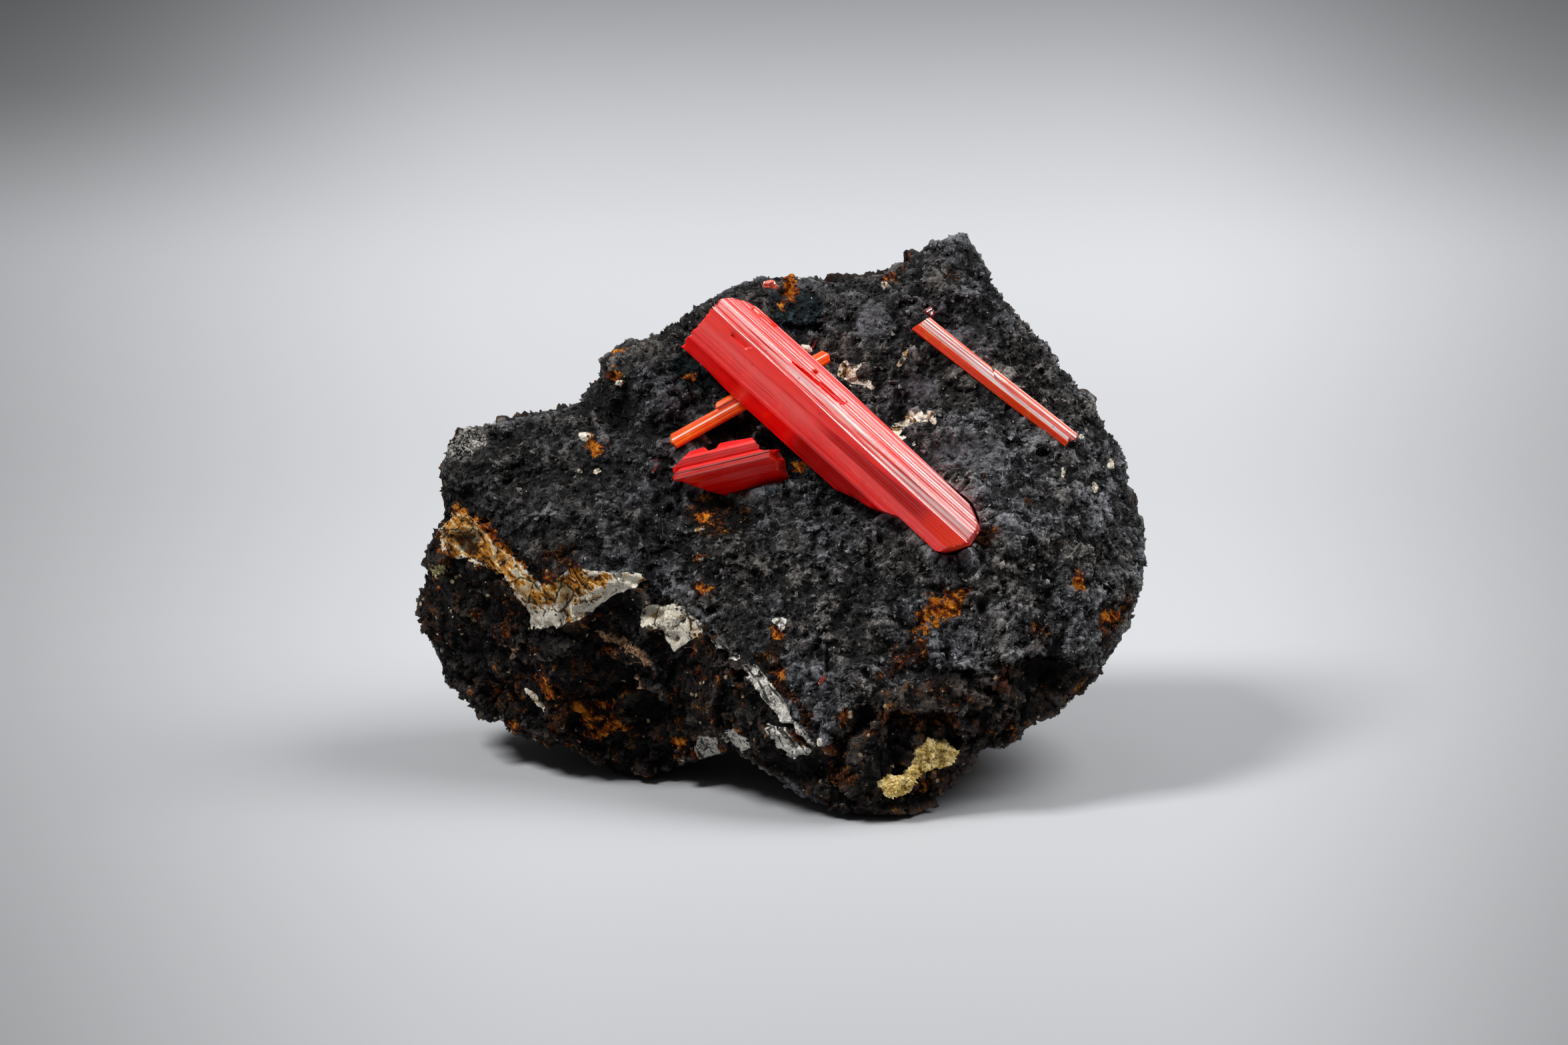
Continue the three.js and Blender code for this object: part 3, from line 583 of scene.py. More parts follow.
def hug_crystals(places):
    """Closes the rock up to what grew on it, and keeps it from breaking through."""
    found, gap = crystal_gap(places, HUG_SEARCH)
    near = np.isfinite(gap)
    share = np.where(near, 1 - smoothstep(gap, 0.5 * HUG_REACH, HUG_REACH), 0.0)
    away = np.zeros_like(places)
    away[near] = places[near] - found[near]
    length = np.where(near, np.abs(gap), 1.0)
    out = away / np.maximum(length, 1e-6)[:, None] * np.where(gap < 0, -1, 1)[:, None]
    wanted = found - out * HUG_DEPTH
    return places + share[:, None] * (wanted - places) * near[:, None]


FOOT_CALM = 1.6  # the relief dies out this far above the ground
ROCK_SHARP = math.radians(32)

# Hollows of the lower right side, seen end on: (x, y, radius), in pixels.
SIDE_HOLLOWS = [(1590, 1126, 62), (1500, 1182, 61)]


def hollowed(places):
    """Presses the rock's side in to the edge of each hollow."""
    for x, y, radius in SIDE_HOLLOWS:
        away = picture_places(places) - [x, y]
        reach = np.linalg.norm(away, axis=1)
        push = np.maximum(radius - reach, 0.0) / np.maximum(reach, 1.0) * DISTANCE / PIXELS_PER_SLOPE
        step = away * push[:, None]
        places = places + step[:, :1] * FACE_U - step[:, 1:] * FACE_V
    return places


def rock(material):
    """The rock itself, with its relief and what shows on it, over the plain solid."""
    piece = remade("matrix", "gossan_rock", VOXEL)
    subdivide_front(piece.data)
    mesh = piece.data
    places = smoothed(mesh, places_of(mesh), rounds=2, share=0.5)
    places = smoothed(mesh, hollowed(places), rounds=2, share=0.5)
    set_places(mesh, places)
    surface = RockSurface(mesh)
    steady = smoothstep(places[:, 2], 0.0, FOOT_CALM)
    relief = rock_relief(places, surface) * steady
    places = places + normals_of(mesh) * relief[:, None]
    places = hug_crystals(places)
    places[:, 2] = np.maximum(places[:, 2], 0.0)
    set_places(mesh, places)
    shade(mesh, ROCK_SHARP)
    for kind, value in surface.share.items():
        store(mesh, kind, value)
    surface.share["proud"] = sum(convexity(mesh, places, *layer) for layer in PROUD)
    store(mesh, "proud", surface.share["proud"])
    wear(piece, material)
    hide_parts("matrix")
    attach(piece, "root")
    return piece, surface


# How the rock's painted light and shade follow its own relief: (rounds of smoothing, weight).
PROUD = ((3, 0.4), (30, 0.95))
PROUD_LIMIT = 2.5
SMOOTHING = 0.6


def convexity(mesh, places, rounds, weight):
    """How far each vertex stands out of its surroundings, against the usual spread."""
    out = np.sum((places - smoothed(mesh, places, rounds, SMOOTHING)) * normals_of(mesh), axis=1)
    return weight * np.clip(out / out.std(), -PROUD_LIMIT, PROUD_LIMIT)


# ---- grains and fibres on the rock


def scattered(mesh, weight, count, random):
    """Places spread over a mesh by area times weight, with their normals and nearest vertices."""
    mesh.calc_loop_triangles()
    corners = np.zeros(len(mesh.loop_triangles) * 3, int)
    mesh.loop_triangles.foreach_get("vertices", corners)
    corners = corners.reshape(-1, 3)
    a, b, c = (places_of(mesh)[corners[:, i]] for i in range(3))
    across = np.cross(b - a, c - a)
    area = np.linalg.norm(across, axis=1)
    chance = area * weight[corners[:, 0]]
    chosen = random.choice(len(corners), count, p=chance / chance.sum())
    s, t = random.uniform(0, 1, (2, count))
    over = s + t > 1
    s, t = np.where(over, 1 - s, s)[:, None], np.where(over, 1 - t, t)[:, None]
    a, b, c = a[chosen], b[chosen], c[chosen]
    normals = across[chosen] / area[chosen][:, None]
    return a + s * (b - a) + t * (c - a), normals, corners[chosen, 0]


def turned(normals, random):
    """For each normal, two unit vectors along the surface, turned at random."""
    along = np.cross(normals, random.normal(size=normals.shape))
    along /= np.linalg.norm(along, axis=1)[:, None]
    return along, np.cross(normals, along)


# An octahedron's corners and faces.
GRAIN_POINTS = np.array([(1, 0, 0), (0, 1, 0), (-1, 0, 0), (0, -1, 0), (0, 0, 1), (0, 0, -1)], float)
GRAIN_SIDES = [(0, 1), (1, 2), (2, 3), (3, 0)]
GRAIN_FACES = np.array([(a, b, 4) for a, b in GRAIN_SIDES] + [(b, a, 5) for a, b in GRAIN_SIDES])
GRAIN_SIZE = (0.10, 0.30)
SMALL_GRAINS = 2.5  # the higher, the more of the grains are small
GRAIN_CORNERS = (0.6, 1.3)  # how far each corner reaches
GRAIN_SIDEWAYS = 0.18
GRAIN_STRETCH = (0.7, 1.5)
GRAIN_RISE = 0.25  # the share of its size that a grain stands out of the surface
GRAIN_PROUD = (0.3, 0.7)  # how much prouder than the rock grains count in its painted light and shade, and the spread
GRAINS = 22000


def angular(places, normals, random, low, high):
    """Small uneven octahedra seated on a surface: their corners and faces."""
    count = len(places)
    along, side = turned(normals, random)
    shape = GRAIN_POINTS[None] * random.uniform(*GRAIN_CORNERS, (count, 6, 1))
    shape = shape + random.normal(0, GRAIN_SIDEWAYS, shape.shape)
    size = low + (high - low) * random.uniform(0, 1, count) ** SMALL_GRAINS
    shape = shape * random.uniform(*GRAIN_STRETCH, (count, 1, 3)) * size[:, None, None]
    out = shape[:, :, 0:1] * along[:, None] + shape[:, :, 1:2] * side[:, None]
    out = out + shape[:, :, 2:3] * normals[:, None]
    corners = places[:, None] + out + (GRAIN_RISE * size[:, None] * normals)[:, None]
    return corners, GRAIN_FACES[None] + len(GRAIN_POINTS) * np.arange(count)[:, None, None]


GRAIN_REACH = 0.7  # no grain or fibre starts nearer to a crystal


def clear_of_crystals(mesh):
    """0 on rock within GRAIN_REACH of a crystal, and 1 elsewhere."""
    _, gap = crystal_gap(places_of(mesh), GRAIN_REACH)
    return np.where(np.isfinite(gap), 0.0, 1.0)


def grains(rock_piece, surface, clear, material):
    """Small angular grains all over the rock, joined in one mesh."""
    random = np.random.default_rng(101)
    weight = (0.3 + surface.toward) * (1 - 0.9 * smoothstep(surface.pale(), 0.2, 0.6)) * clear
    weight = weight * (1 - 0.5 * surface.share["grey"]) * smoothstep(surface.places[:, 2], 0.5, 1.5)
    places, normals, source = scattered(rock_piece.data, weight, GRAINS, random)
    corners, faces = angular(places, normals, random, *GRAIN_SIZE)
    proud = random.normal(*GRAIN_PROUD, GRAINS)
    cover("gossan_grains", corners, faces, source, surface, proud, material)


def on_surface(tree, points, lift):
    """The nearest places on a surface in millimetres, raised a little off it."""
    found = np.array(points)
    for i, point in enumerate(points):
        place, normal, _, _ = tree.find_nearest(point)
        found[i] = np.array(place) + lift * np.array(normal)
    return found


FIBRE_RINGS = 4
FIBRE_SIDES = 3
FIBRES = 8200
FIBRE_LENGTH = (0.5, 1.5)
FIBRE_BEND = 0.7
FIBRE_RADIUS = 0.04
FIBRE_TAPER = 0.6
FIBRE_LIFT = 0.03
# How much prouder than the rock the fibres count in its painted light and shade, and the spread.
FIBRE_PROUD = (0.8, 0.6)


def fibres(rock_piece, surface, clear, material):
    """Fine bent fibres lying on the rock, joined in one mesh."""
    random = np.random.default_rng(102)
    weight = (0.2 + surface.toward) * (1 - smoothstep(surface.pale(), 0.2, 0.6)) * clear
    weight = weight * (1 - 0.7 * surface.share["broken"]) * smoothstep(surface.places[:, 2], 1.0, 2.0)
    places, normals, source = scattered(rock_piece.data, weight, FIBRES, random)
    along, side = turned(normals, random)
    length = random.uniform(*FIBRE_LENGTH, FIBRES)
    bend = random.uniform(-FIBRE_BEND, FIBRE_BEND, FIBRES)
    tree = tree_of(rock_piece)
    tip = FIBRE_RINGS * FIBRE_SIDES
    corners = np.zeros((FIBRES, tip + 1, 3))
    for ring in range(FIBRE_RINGS + 1):
        share = ring / FIBRE_RINGS
        run, sway = length * share, bend * length * share**2
        middle = on_surface(tree, places + run[:, None] * along + sway[:, None] * side, FIBRE_LIFT)
        if ring == FIBRE_RINGS:
            corners[:, tip] = middle
            continue
        for i in range(FIBRE_SIDES):
            angle = 2 * math.pi * i / FIBRE_SIDES
            radius = FIBRE_RADIUS * (1 - FIBRE_TAPER * share)
            out = math.cos(angle) * side + math.sin(angle) * normals
            corners[:, ring * FIBRE_SIDES + i] = middle + radius * out
    faces = [(2, 1, 0)]
    for a, b, c, d in ring_faces(FIBRE_RINGS, FIBRE_SIDES):
        faces += [(a, b, c), (a, c, d)]
    last = tip - FIBRE_SIDES
    faces += [(last + i, last + (i + 1) % FIBRE_SIDES, tip) for i in range(FIBRE_SIDES)]
    faces = np.array(faces)[None] + (tip + 1) * np.arange(FIBRES)[:, None, None]
    proud = random.normal(*FIBRE_PROUD, FIBRES)
    cover("gossan_fibres", corners, faces, source, surface, proud, material)


# Slivers of crystal lying in the rock: (x, y, length, width) in pixels, and their turn in degrees.
SHARDS = [(983, 703, 13, 4, 58), (984, 691, 5, 4, 20), (868, 1112, 7, 5, 140), (1222, 516, 13, 5, 62)]
# A sliver's ends as (place along it, share of its width), and its section beside its width.
SHARD_ENDS = ((-0.5, 0.9), (0.5, 0.6))
SHARD_SIDES = ((-0.5, -0.4), (0.5, -0.4), (0.35, 0.45), (-0.3, 0.5))
SHARD_FACES = ((3, 2, 1, 0), (4, 5, 6, 7), (0, 1, 5, 4), (1, 2, 6, 5), (2, 3, 7, 6), (3, 0, 4, 7))


def shards(rock_piece, material):
    """Slivers set in the rock where its surface lies behind their places in the picture."""
    tree = tree_of(rock_piece)
    corners, faces = [], []
    for x, y, length, width, turn in SHARDS:
        right, up = (x - PICTURE[0] / 2) / PIXELS_PER_SLOPE, (PICTURE[1] / 2 - y) / PIXELS_PER_SLOPE
        sight = Vector(right * FACE_U + up * FACE_V - FACE_W)
        place, _, _, reach = tree.ray_cast(Vector(CAMERA_PLACE), sight.normalized())
        if place is None:
            continue
        run = math.cos(math.radians(turn)) * FACE_U + math.sin(math.radians(turn)) * FACE_V
        across = np.cross(FACE_W, run)
        length, width = length * reach / PIXELS_PER_SLOPE, width * reach / PIXELS_PER_SLOPE
        faces += [tuple(corner + len(corners) for corner in face) for face in SHARD_FACES]
        for end, taper in SHARD_ENDS:
            for side, out in SHARD_SIDES:
                aside = side * across + out * FACE_W
                corners.append(np.array(place) + end * length * run + taper * width * aside)
    piece = new_piece("crystal_shards", np.array(corners), faces, smooth=False)
    tidy_normals(piece)
    piece.data.materials.append(material)
    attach(piece, "root")


def cover(name, corners, faces, source, surface, proud, material):
    """One mesh of many small bodies that take the look of the rock they sit on, painted light and shade
    included.
    """
    each = corners.shape[1]
    piece = new_piece(name, corners.reshape(-1, 3), faces.reshape(-1, 3).tolist(), smooth=False)
    for kind, value in surface.share.items():
        here = value[source] + (proud if kind == "proud" else 0)
        store(piece.data, kind, np.repeat(here, each))
    piece.data.materials.append(material)
    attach(piece, "root")


# ---- materials


def colour(code):
    """A linear colour from its screen code, such as "#2b2a2c"."""
    shares = [int(code[i : i + 2], 16) / 255 for i in (1, 3, 5)]
    linear = [s / 12.92 if s <= 0.04045 else ((s + 0.055) / 1.055) ** 2.4 for s in shares]
    return (*linear, 1.0)


class Graph:
    """A material's nodes, written as nested calls."""

    def __init__(self, name):
        self.material = bpy.data.materials.new(name)
        self.material.use_nodes = True
        self.tree = self.material.node_tree
        self.tree.nodes.clear()
        self.shader = self.tree.nodes.new("ShaderNodeBsdfPrincipled")
        output = self.tree.nodes.new("ShaderNodeOutputMaterial")
        self.tree.links.new(self.shader.outputs[0], output.inputs["Surface"])
        self.place = self.node("ShaderNodeTexCoord").outputs["Object"]

    def node(self, kind, inputs=None, **settings):
        node = self.tree.nodes.new(kind)
        for key, value in settings.items():
            setattr(node, key, value)
        for key, value in (inputs or {}).items():
            self.feed(node.inputs[key], value)
        return node

    def feed(self, socket, value):
        if isinstance(value, bpy.types.NodeSocket):
            self.tree.links.new(value, socket)
        else:
            socket.default_value = value

    def attribute(self, name):
        return self.node("ShaderNodeAttribute", attribute_name=name).outputs["Fac"]

    def math(self, operation, a, b=0.0):
        return self.node("ShaderNodeMath", {0: a, 1: b}, operation=operation).outputs[0]

    def add(self, a, b):
        return self.math("ADD", a, b)

    def times(self, first, *others):
        """The product of all, from the first to the last."""
        for other in others:
            first = self.math("MULTIPLY", first, other)
        return first

    def most(self, a, b):
        return self.math("MAXIMUM", a, b)

    def off_middle(self, noise, reach):
        """Noise from 0 to 1, made to swing by half of `reach` to either side of 0."""
        return self.times(self.add(noise, -0.5), reach)

    def line(self, value, low, high, to_low=0.0, to_high=1.0, **settings):
        """Evenly from to_low at low to to_high at high."""
        ends = {"Value": value, "From Min": low, "From Max": high, "To Min": to_low, "To Max": to_high}
        return self.node("ShaderNodeMapRange", ends, **settings).outputs["Result"]

    def rise(self, value, low, high, to_low=0.0, to_high=1.0):
        """Smoothly from to_low at low to to_high at high."""
        return self.line(value, low, high, to_low, to_high, interpolation_type="SMOOTHSTEP")

    def ramp(self, value, stops):
        """Reads a share off (value, share) stops."""
        low, high = stops[0][0], stops[-1][0]
        node = self.node("ShaderNodeValToRGB", {"Fac": self.line(value, low, high)})
        elements = node.color_ramp.elements
        for place, _ in stops[1:-1]:
            elements.new((place - low) / (high - low))
        for element, (_, share) in zip(elements, stops):
            element.color = (share, share, share, 1.0)
        return node.outputs["Color"]

    def along(self, direction):
        """How far the place lies along a direction, in metres."""
        return self.vector("DOT_PRODUCT", self.place, tuple(direction)).outputs["Value"]

    def vector(self, operation, a, b):
        return self.node("ShaderNodeVectorMath", {0: a, 1: b}, operation=operation)

    def joined(self, x, y, z=0.0):
        return self.node("ShaderNodeCombineXYZ", {0: x, 1: y, 2: z}).outputs[0]

    def mix(self, share, a, b):
        """From colour a to colour b, each a socket or a screen code."""
        node = self.node("ShaderNodeMix", {"Factor": share}, data_type="RGBA")
        sockets = [socket for socket in node.inputs if socket.type == "RGBA"]
        for socket, value in zip(sockets, (a, b)):
            self.feed(socket, colour(value) if isinstance(value, str) else value)
        return [socket for socket in node.outputs if socket.type == "RGBA"][0]

    def noise(self, size, detail=3.0, roughness=0.55, distortion=0.0, vector=None):
        """Noise from 0 to 1 whose lumps are `size` millimetres across."""
        inputs = {"Detail": detail, "Roughness": roughness, "Distortion": distortion}
        return self.texture("ShaderNodeTexNoise", size, vector, inputs).outputs["Fac"]

    def cells(self, size, feature="F1", vector=None):
        """How far the place is from the middle or the edge of its cell, in cells of `size` millimetres."""
        return self.texture("ShaderNodeTexVoronoi", size, vector, {}, feature=feature).outputs["Distance"]

    def texture(self, kind, size, vector, inputs, **settings):
        inputs = {"Vector": self.place if vector is None else vector, "Scale": 1 / (size * MM), **inputs}
        return self.node(kind, inputs, **settings)

    def swayed(self, size, reach):
        """The place moved about by up to `reach` millimetres of noise."""
        noise = self.texture("ShaderNodeTexNoise", size, None, {}).outputs["Color"]
        swing = self.vector("SUBTRACT", noise, (0.5, 0.5, 0.5)).outputs[0]
        step = self.vector("MULTIPLY", swing, (reach * MM,) * 3).outputs[0]
        return self.vector("ADD", self.place, step).outputs[0]

    def bump(self, height, depth, strength=1.0, normal=None):
        """Relief `depth` millimetres deep."""
        inputs = {"Height": height, "Distance": depth * MM, "Strength": strength}
        if normal is not None:
            inputs["Normal"] = normal
        return self.node("ShaderNodeBump", inputs).outputs["Normal"]

    def finish(self, **inputs):
        for key, value in inputs.items():
            self.feed(self.shader.inputs[key.replace("_", " ")], value)
        return self.material


# The white veins of the broken edge run down to the right, and their cracks run with them. The
# amber strands of the ochre vein run down to the right as well.
VEIN_RUN = 0.57 * FACE_U - 0.82 * FACE_V
VEIN_ACROSS = 0.82 * FACE_U + 0.57 * FACE_V
OCHRE_RUN = 0.7 * FACE_U - 0.7 * FACE_V
OCHRE_ACROSS = 0.7 * FACE_U + 0.7 * FACE_V
THREADS = ((0.9, 0.03), (0.5, 0.04))  # (size in mm, half-width in the noise)


def gossan_material():
    """Near-black porous rock with painted light on its raised parts and painted shade in its hollows, with
    the minerals laid over it.
    """
    g = Graph("gossan")
    fine = g.noise(0.3, detail=2, roughness=0.7, distortion=0.8)
    broad = g.noise(6.0, detail=6, roughness=0.62)
    stain = g.noise(2.4, detail=7, roughness=0.7, distortion=0.8)
    mottle = g.noise(0.9, detail=5, roughness=0.7, distortion=0.8)
    thread = 0.0
    for size, width in THREADS:
        fibre = g.noise(size, detail=2, roughness=0.6, distortion=3.0)
        thread = g.most(g.rise(g.math("ABSOLUTE", g.add(fibre, -0.5)), 0.0, width, 1.0, 0.0), thread)
    # Painted light and shade: the more a place stands out the paler it is painted, and the deeper it lies the
    # darker. It is painted lighter towards the right, as painted shade on the left side, and darker towards
    # the top.
    proud = g.add(g.attribute("proud"), g.off_middle(fine, 4.6))
    proud = g.add(proud, g.off_middle(broad, 4.4))
    lit = g.times(
        g.rise(proud, -1.4, 3.9),
        g.rise(g.along(FACE_U), -0.024, 0.024, 0.84, 1.2),
        g.rise(g.along(FACE_V), 0.038, 0.05, 1.0, 0.74),
    )
    lit = g.times(lit, g.add(g.times(lit, 0.95), 0.1))
    base = g.mix(lit, "#060606", g.mix(g.rise(g.noise(9.0, detail=3), 0.42, 0.58), "#989189", "#94959b"))
    base = g.mix(g.times(thread, g.add(g.times(lit, 0.75), 0.06)), base, "#aeacad")

    # The broken face is its own dark brown fracture, painted darker than the rock above it partly as painted
    # shade of faces that turn down. It, its umber and glow, and the rust are each mixed from a painted-shade
    # and a painted-light colour by the same painted light.
    crust = g.mix(lit, "#040303", "#504843")
    umber = g.mix(lit, "#160803", "#74441a")
    crust = g.mix(g.times(g.rise(stain, 0.5, 0.58), g.rise(mottle, 0.42, 0.52)), crust, umber)
    glow = g.mix(lit, "#6a2b06", "#e09030")
    crust = g.mix(g.times(g.rise(stain, 0.56, 0.61), g.rise(mottle, 0.5, 0.56)), crust, glow)
    fleck = g.times(g.rise(g.cells(1.7), 0.1, 0.16, 1.0, 0.0), g.rise(mottle, 0.42, 0.48))
    crust = g.mix(fleck, crust, "#ccb894")

    fleck = g.times(g.rise(mottle, 0.56, 0.63), g.rise(fine, 0.48, 0.6))
    bright_rust = g.most(fleck, g.times(thread, g.rise(mottle, 0.5, 0.6)))
    rust = g.mix(lit, "#080302", "#46220c")
    rust = g.mix(bright_rust, rust, g.mix(g.rise(stain, 0.42, 0.56), "#b4480c", "#cc7c20"))

    cream = g.mix(g.rise(mottle, 0.32, 0.44), "#c09458", "#fff6e2")
    pale_ochre = g.mix(g.rise(mottle, 0.4, 0.6), "#8a5a20", "#deb068")
    cream = g.mix(g.rise(stain, 0.54, 0.6), cream, pale_ochre)

    streak = g.joined(g.along(OCHRE_ACROSS), g.times(g.along(OCHRE_RUN), 0.4))
    strand = g.noise(0.9, detail=5, roughness=0.7, distortion=1.0, vector=streak)
    in_vein = g.rise(g.attribute("cream"), 0.3, 0.6)
    ochre = g.mix(g.rise(strand, 0.4, 0.48), "#220c03", g.mix(in_vein, "#a04806", "#c47a1c"))
    ochre = g.mix(g.rise(strand, 0.5, 0.55), ochre, g.mix(in_vein, "#d88420", "#f2b650"))
    ochre = g.mix(g.times(g.rise(strand, 0.54, 0.59), in_vein), ochre, "#fff2d2")
    ochre = g.mix(g.times(g.rise(stain, 0.52, 0.6), 0.6, in_vein), ochre, "#e2c48c")

    # Each mineral lies over those before it where its attribute shows: its colour, the values
    # between which it comes in, and how far noise makes its edge ragged.
    minerals = (
        # Teal and grey also carry the painted light and shade of the relief.
        ("teal", g.mix(lit, "#04090a", "#4c6a73"), 0.4, 0.95, 0.5, stain),
        ("grey", g.mix(g.rise(proud, -2.6, 3.2), "#111112", "#86858a"), 0.4, 0.9, 0.5, stain),
        ("broken", crust, 0.42, 0.58, 0.4, mottle),
        ("rust", rust, 0.45, 0.7, 1.6, stain),
        ("cream", cream, 0.44, 0.51, 0.45, mottle),
        ("ochre", ochre, 0.46, 0.54, 2.4, mottle),
        ("quartz", g.mix(g.rise(mottle, 0.36, 0.5), "#7c7468", "#fdf8ee"), 0.42, 0.52, 0.7, mottle),
        ("tan", g.mix(g.rise(fine, 0.35, 0.6), "#5a3c28", "#c49a78"), 0.42, 0.55, 0.5, stain),
        ("sulphur", g.mix(g.rise(fine, 0.3, 0.6), "#a89a50", "#f0e6a8"), 0.5, 0.62, 1.4, mottle),
        ("horn", g.mix(g.rise(fine, 0.42, 0.58), "#0e0d0d", "#b9b4ac"), 0.4, 0.7, 1.2, mottle),
    )
    for name, tint, low, high, wander, by in minerals:
        ragged = g.add(g.attribute(name), g.off_middle(by, wander))
        base = g.mix(g.rise(ragged, low, high), base, tint)

    pale = g.most(g.attribute("cream"), g.attribute("quartz"))
    edge = g.cells(2.3, feature="DISTANCE_TO_EDGE", vector=g.swayed(1.0, 0.8))
    crack = g.times(g.rise(edge, 0.02, 0.055, 1.0, 0.0), g.rise(stain, 0.45, 0.53))
    run = g.joined(g.along(VEIN_ACROSS), g.times(g.along(VEIN_RUN), 0.22))
    split = g.rise(g.noise(0.62, detail=3, distortion=0.4, vector=run), 0.46, 0.41)
    crack = g.most(crack, g.times(split, g.rise(g.attribute("quartz"), 0.4, 0.6)))
    speck = g.times(g.rise(g.cells(0.9), 0.16, 0.24, 1.0, 0.0), g.rise(mottle, 0.4, 0.48))
    marks = g.times(g.most(crack, speck), g.rise(pale, 0.4, 0.6), 0.92)
    base = g.mix(marks, base, "#120c07")
    base = g.mix(g.rise(g.attribute("pit"), 0.3, 0.8, 0.0, 0.85), base, "#2a1103")
    # Painted shade: the deep hollows are painted near-black.
    base = g.mix(g.rise(g.attribute("dark"), 0.3, 0.9, 0.0, 0.82), base, "#020202")
    # Painted highlight: sparse white specks stand in for glints, and they are also less rough.
    painted_glint = g.rise(g.cells(1.5), 0.05, 0.065, 1.0, 0.0)
    base = g.mix(g.times(painted_glint, 0.8), base, "#e0deda")

    rough = g.add(g.times(fine, -0.4), 0.92)
    rough = g.add(rough, g.times(g.attribute("broken"), -0.16))
    rough = g.add(rough, g.times(painted_glint, -0.3))
    normal = g.bump(fine, 0.32)
    normal = g.bump(thread, 0.1, 0.8, normal)
    normal = g.bump(mottle, 0.3, 0.5, normal)
    return g.finish(Base_Color=base, Roughness=rough, Normal=normal, Specular_IOR_Level=0.15)


# ---- crystals

# Each crystal: its two ends in face coordinates, its section (p across, q outwards) with the
# striations of each side (how many, how deep), and its outline (t along the axis, p).
LARGE_CRYSTAL = {
    "start": (-6.70, 50.75, -8.30),
    "end": (17.30, 28.90, -1.61),
    "section": [
        (-4.95, -0.4, 3, 0.015), (-3.4, 1.35, 18, 0.03), (0.0, 2.7, 7, 0.06), (1.1, 2.45, 8, 0.06),
        (2.2, 1.75, 7, 0.06), (3.1, 0.75, 4, 0.05), (3.6, -0.4, 3, 0.04), (3.3, -2.5, 3, 0.04),
        (0.2, -2.4, 4, 0.04), (-3.9, -1.5, 2, 0.03),
    ],
    "low_side": [
        (-1.6, -4.7), (1.5, -4.7), (5.0, -4.9), (20.4, -5.0), (22.6, -4.3), (24.4, -4.0), (27.6, -2.7),
        (33.1, -2.8), (35.2, -2.6),
    ],
    "high_side": [
        (-1.6, 3.6), (10.0, 3.6), (16.0, 3.5), (22.0, 3.35), (28.0, 3.2), (32.0, 3.05), (35.2, 1.6),
    ],
    "head": [(-4.9, -1.6), (-2.2, -1.2), (0.2, -1.3), (2.2, -1.1), (3.2, 0.5), (3.8, 2.2)],
    "tail": [
        (-4.9, 32.2), (-2.8, 32.7), (-2.56, 33.1), (-1.73, 33.7), (0.0, 34.8), (1.9, 34.4), (2.6, 33.8),
        (2.9, 32.8), (3.6, 31.0),
    ],
    "ragged": (0.4, 0.35),
    "drift": [(0.0, 0.4), (4.0, 0.36), (12.0, 0.25), (24.0, 0.0), (35.0, -0.05)],
    # How strongly the frosting and its painted highlight show along the crystal, on each side of DULL_SIDE.
    "whiter": [(-1.5, 0.85), (5.0, 0.95), (14.0, 1.0), (20.0, 0.95), (24.0, 1.0), (35.0, 1.0)],
    "duller": [(-1.5, 1.0), (13.0, 1.0), (15.5, 0.72), (30.0, 0.8), (35.0, 0.6)],
    "gouges": [
        [(1.70, 8.6), (2.35, 15.0), (2.46, 15.7), (1.78, 15.5), (1.66, 12.0)],
        [(2.40, 10.8), (2.84, 10.8), (2.84, 11.3), (2.40, 11.3)],
        [(3.0, 1.5), (3.4, 1.4), (3.5, 4.6), (3.25, 4.3)],
        [(-0.45, 2.2), (0.05, 2.0), (0.1, 4.6), (-0.35, 4.3)],
    ],
    "rows": 230,
    "seed": 11,
}
CROSSING_CRYSTAL = {
    "start": (-11.60, 38.60, -7.19),
    "end": (4.60, 47.70, -11.47),
    "section": [
        (-0.85, -0.2, 1, 0.01), (-0.8, 0.42, 2, 0.01), (-0.6, 0.62, 4, 0.02), (0.1, 0.62, 3, 0.03),
        (0.75, 0.3, 2, 0.02), (0.8, -0.5, 2, 0.02), (0.0, -0.9, 2, 0.02),
    ],
    "low_side": [(-0.5, -0.9), (18.6, -0.9)],
    "high_side": [(-0.5, 0.9), (18.6, 0.9)],
    "head": [(-0.9, -0.2), (0.0, -0.5), (0.9, 0.1)],
    "tail": [(-0.9, 18.3), (0.1, 18.6), (0.9, 18.2)],
    "ragged": (0.06, 0.12),
    "rows": 60,
    "seed": 21,
}
CROSSING_ROD = {
    "section": [
        (0.45, -0.4, 1, 0.01), (0.4, 0.35, 2, 0.02), (0.85, 0.6, 2, 0.02), (1.35, 0.25, 1, 0.01),
        (1.25, -0.45, 1, 0.01),
    ],
    "low_side": [(5.4, 0.3), (12.6, 0.3)],
    "high_side": [(5.4, 1.5), (12.6, 1.5)],
    "head": [(0.3, 5.6), (0.9, 5.4), (1.5, 5.8)],
    "tail": [(0.3, 12.6), (1.5, 12.4)],
    "ragged": (0.08, 0.08),
    "rows": 24,
    "seed": 22,
}
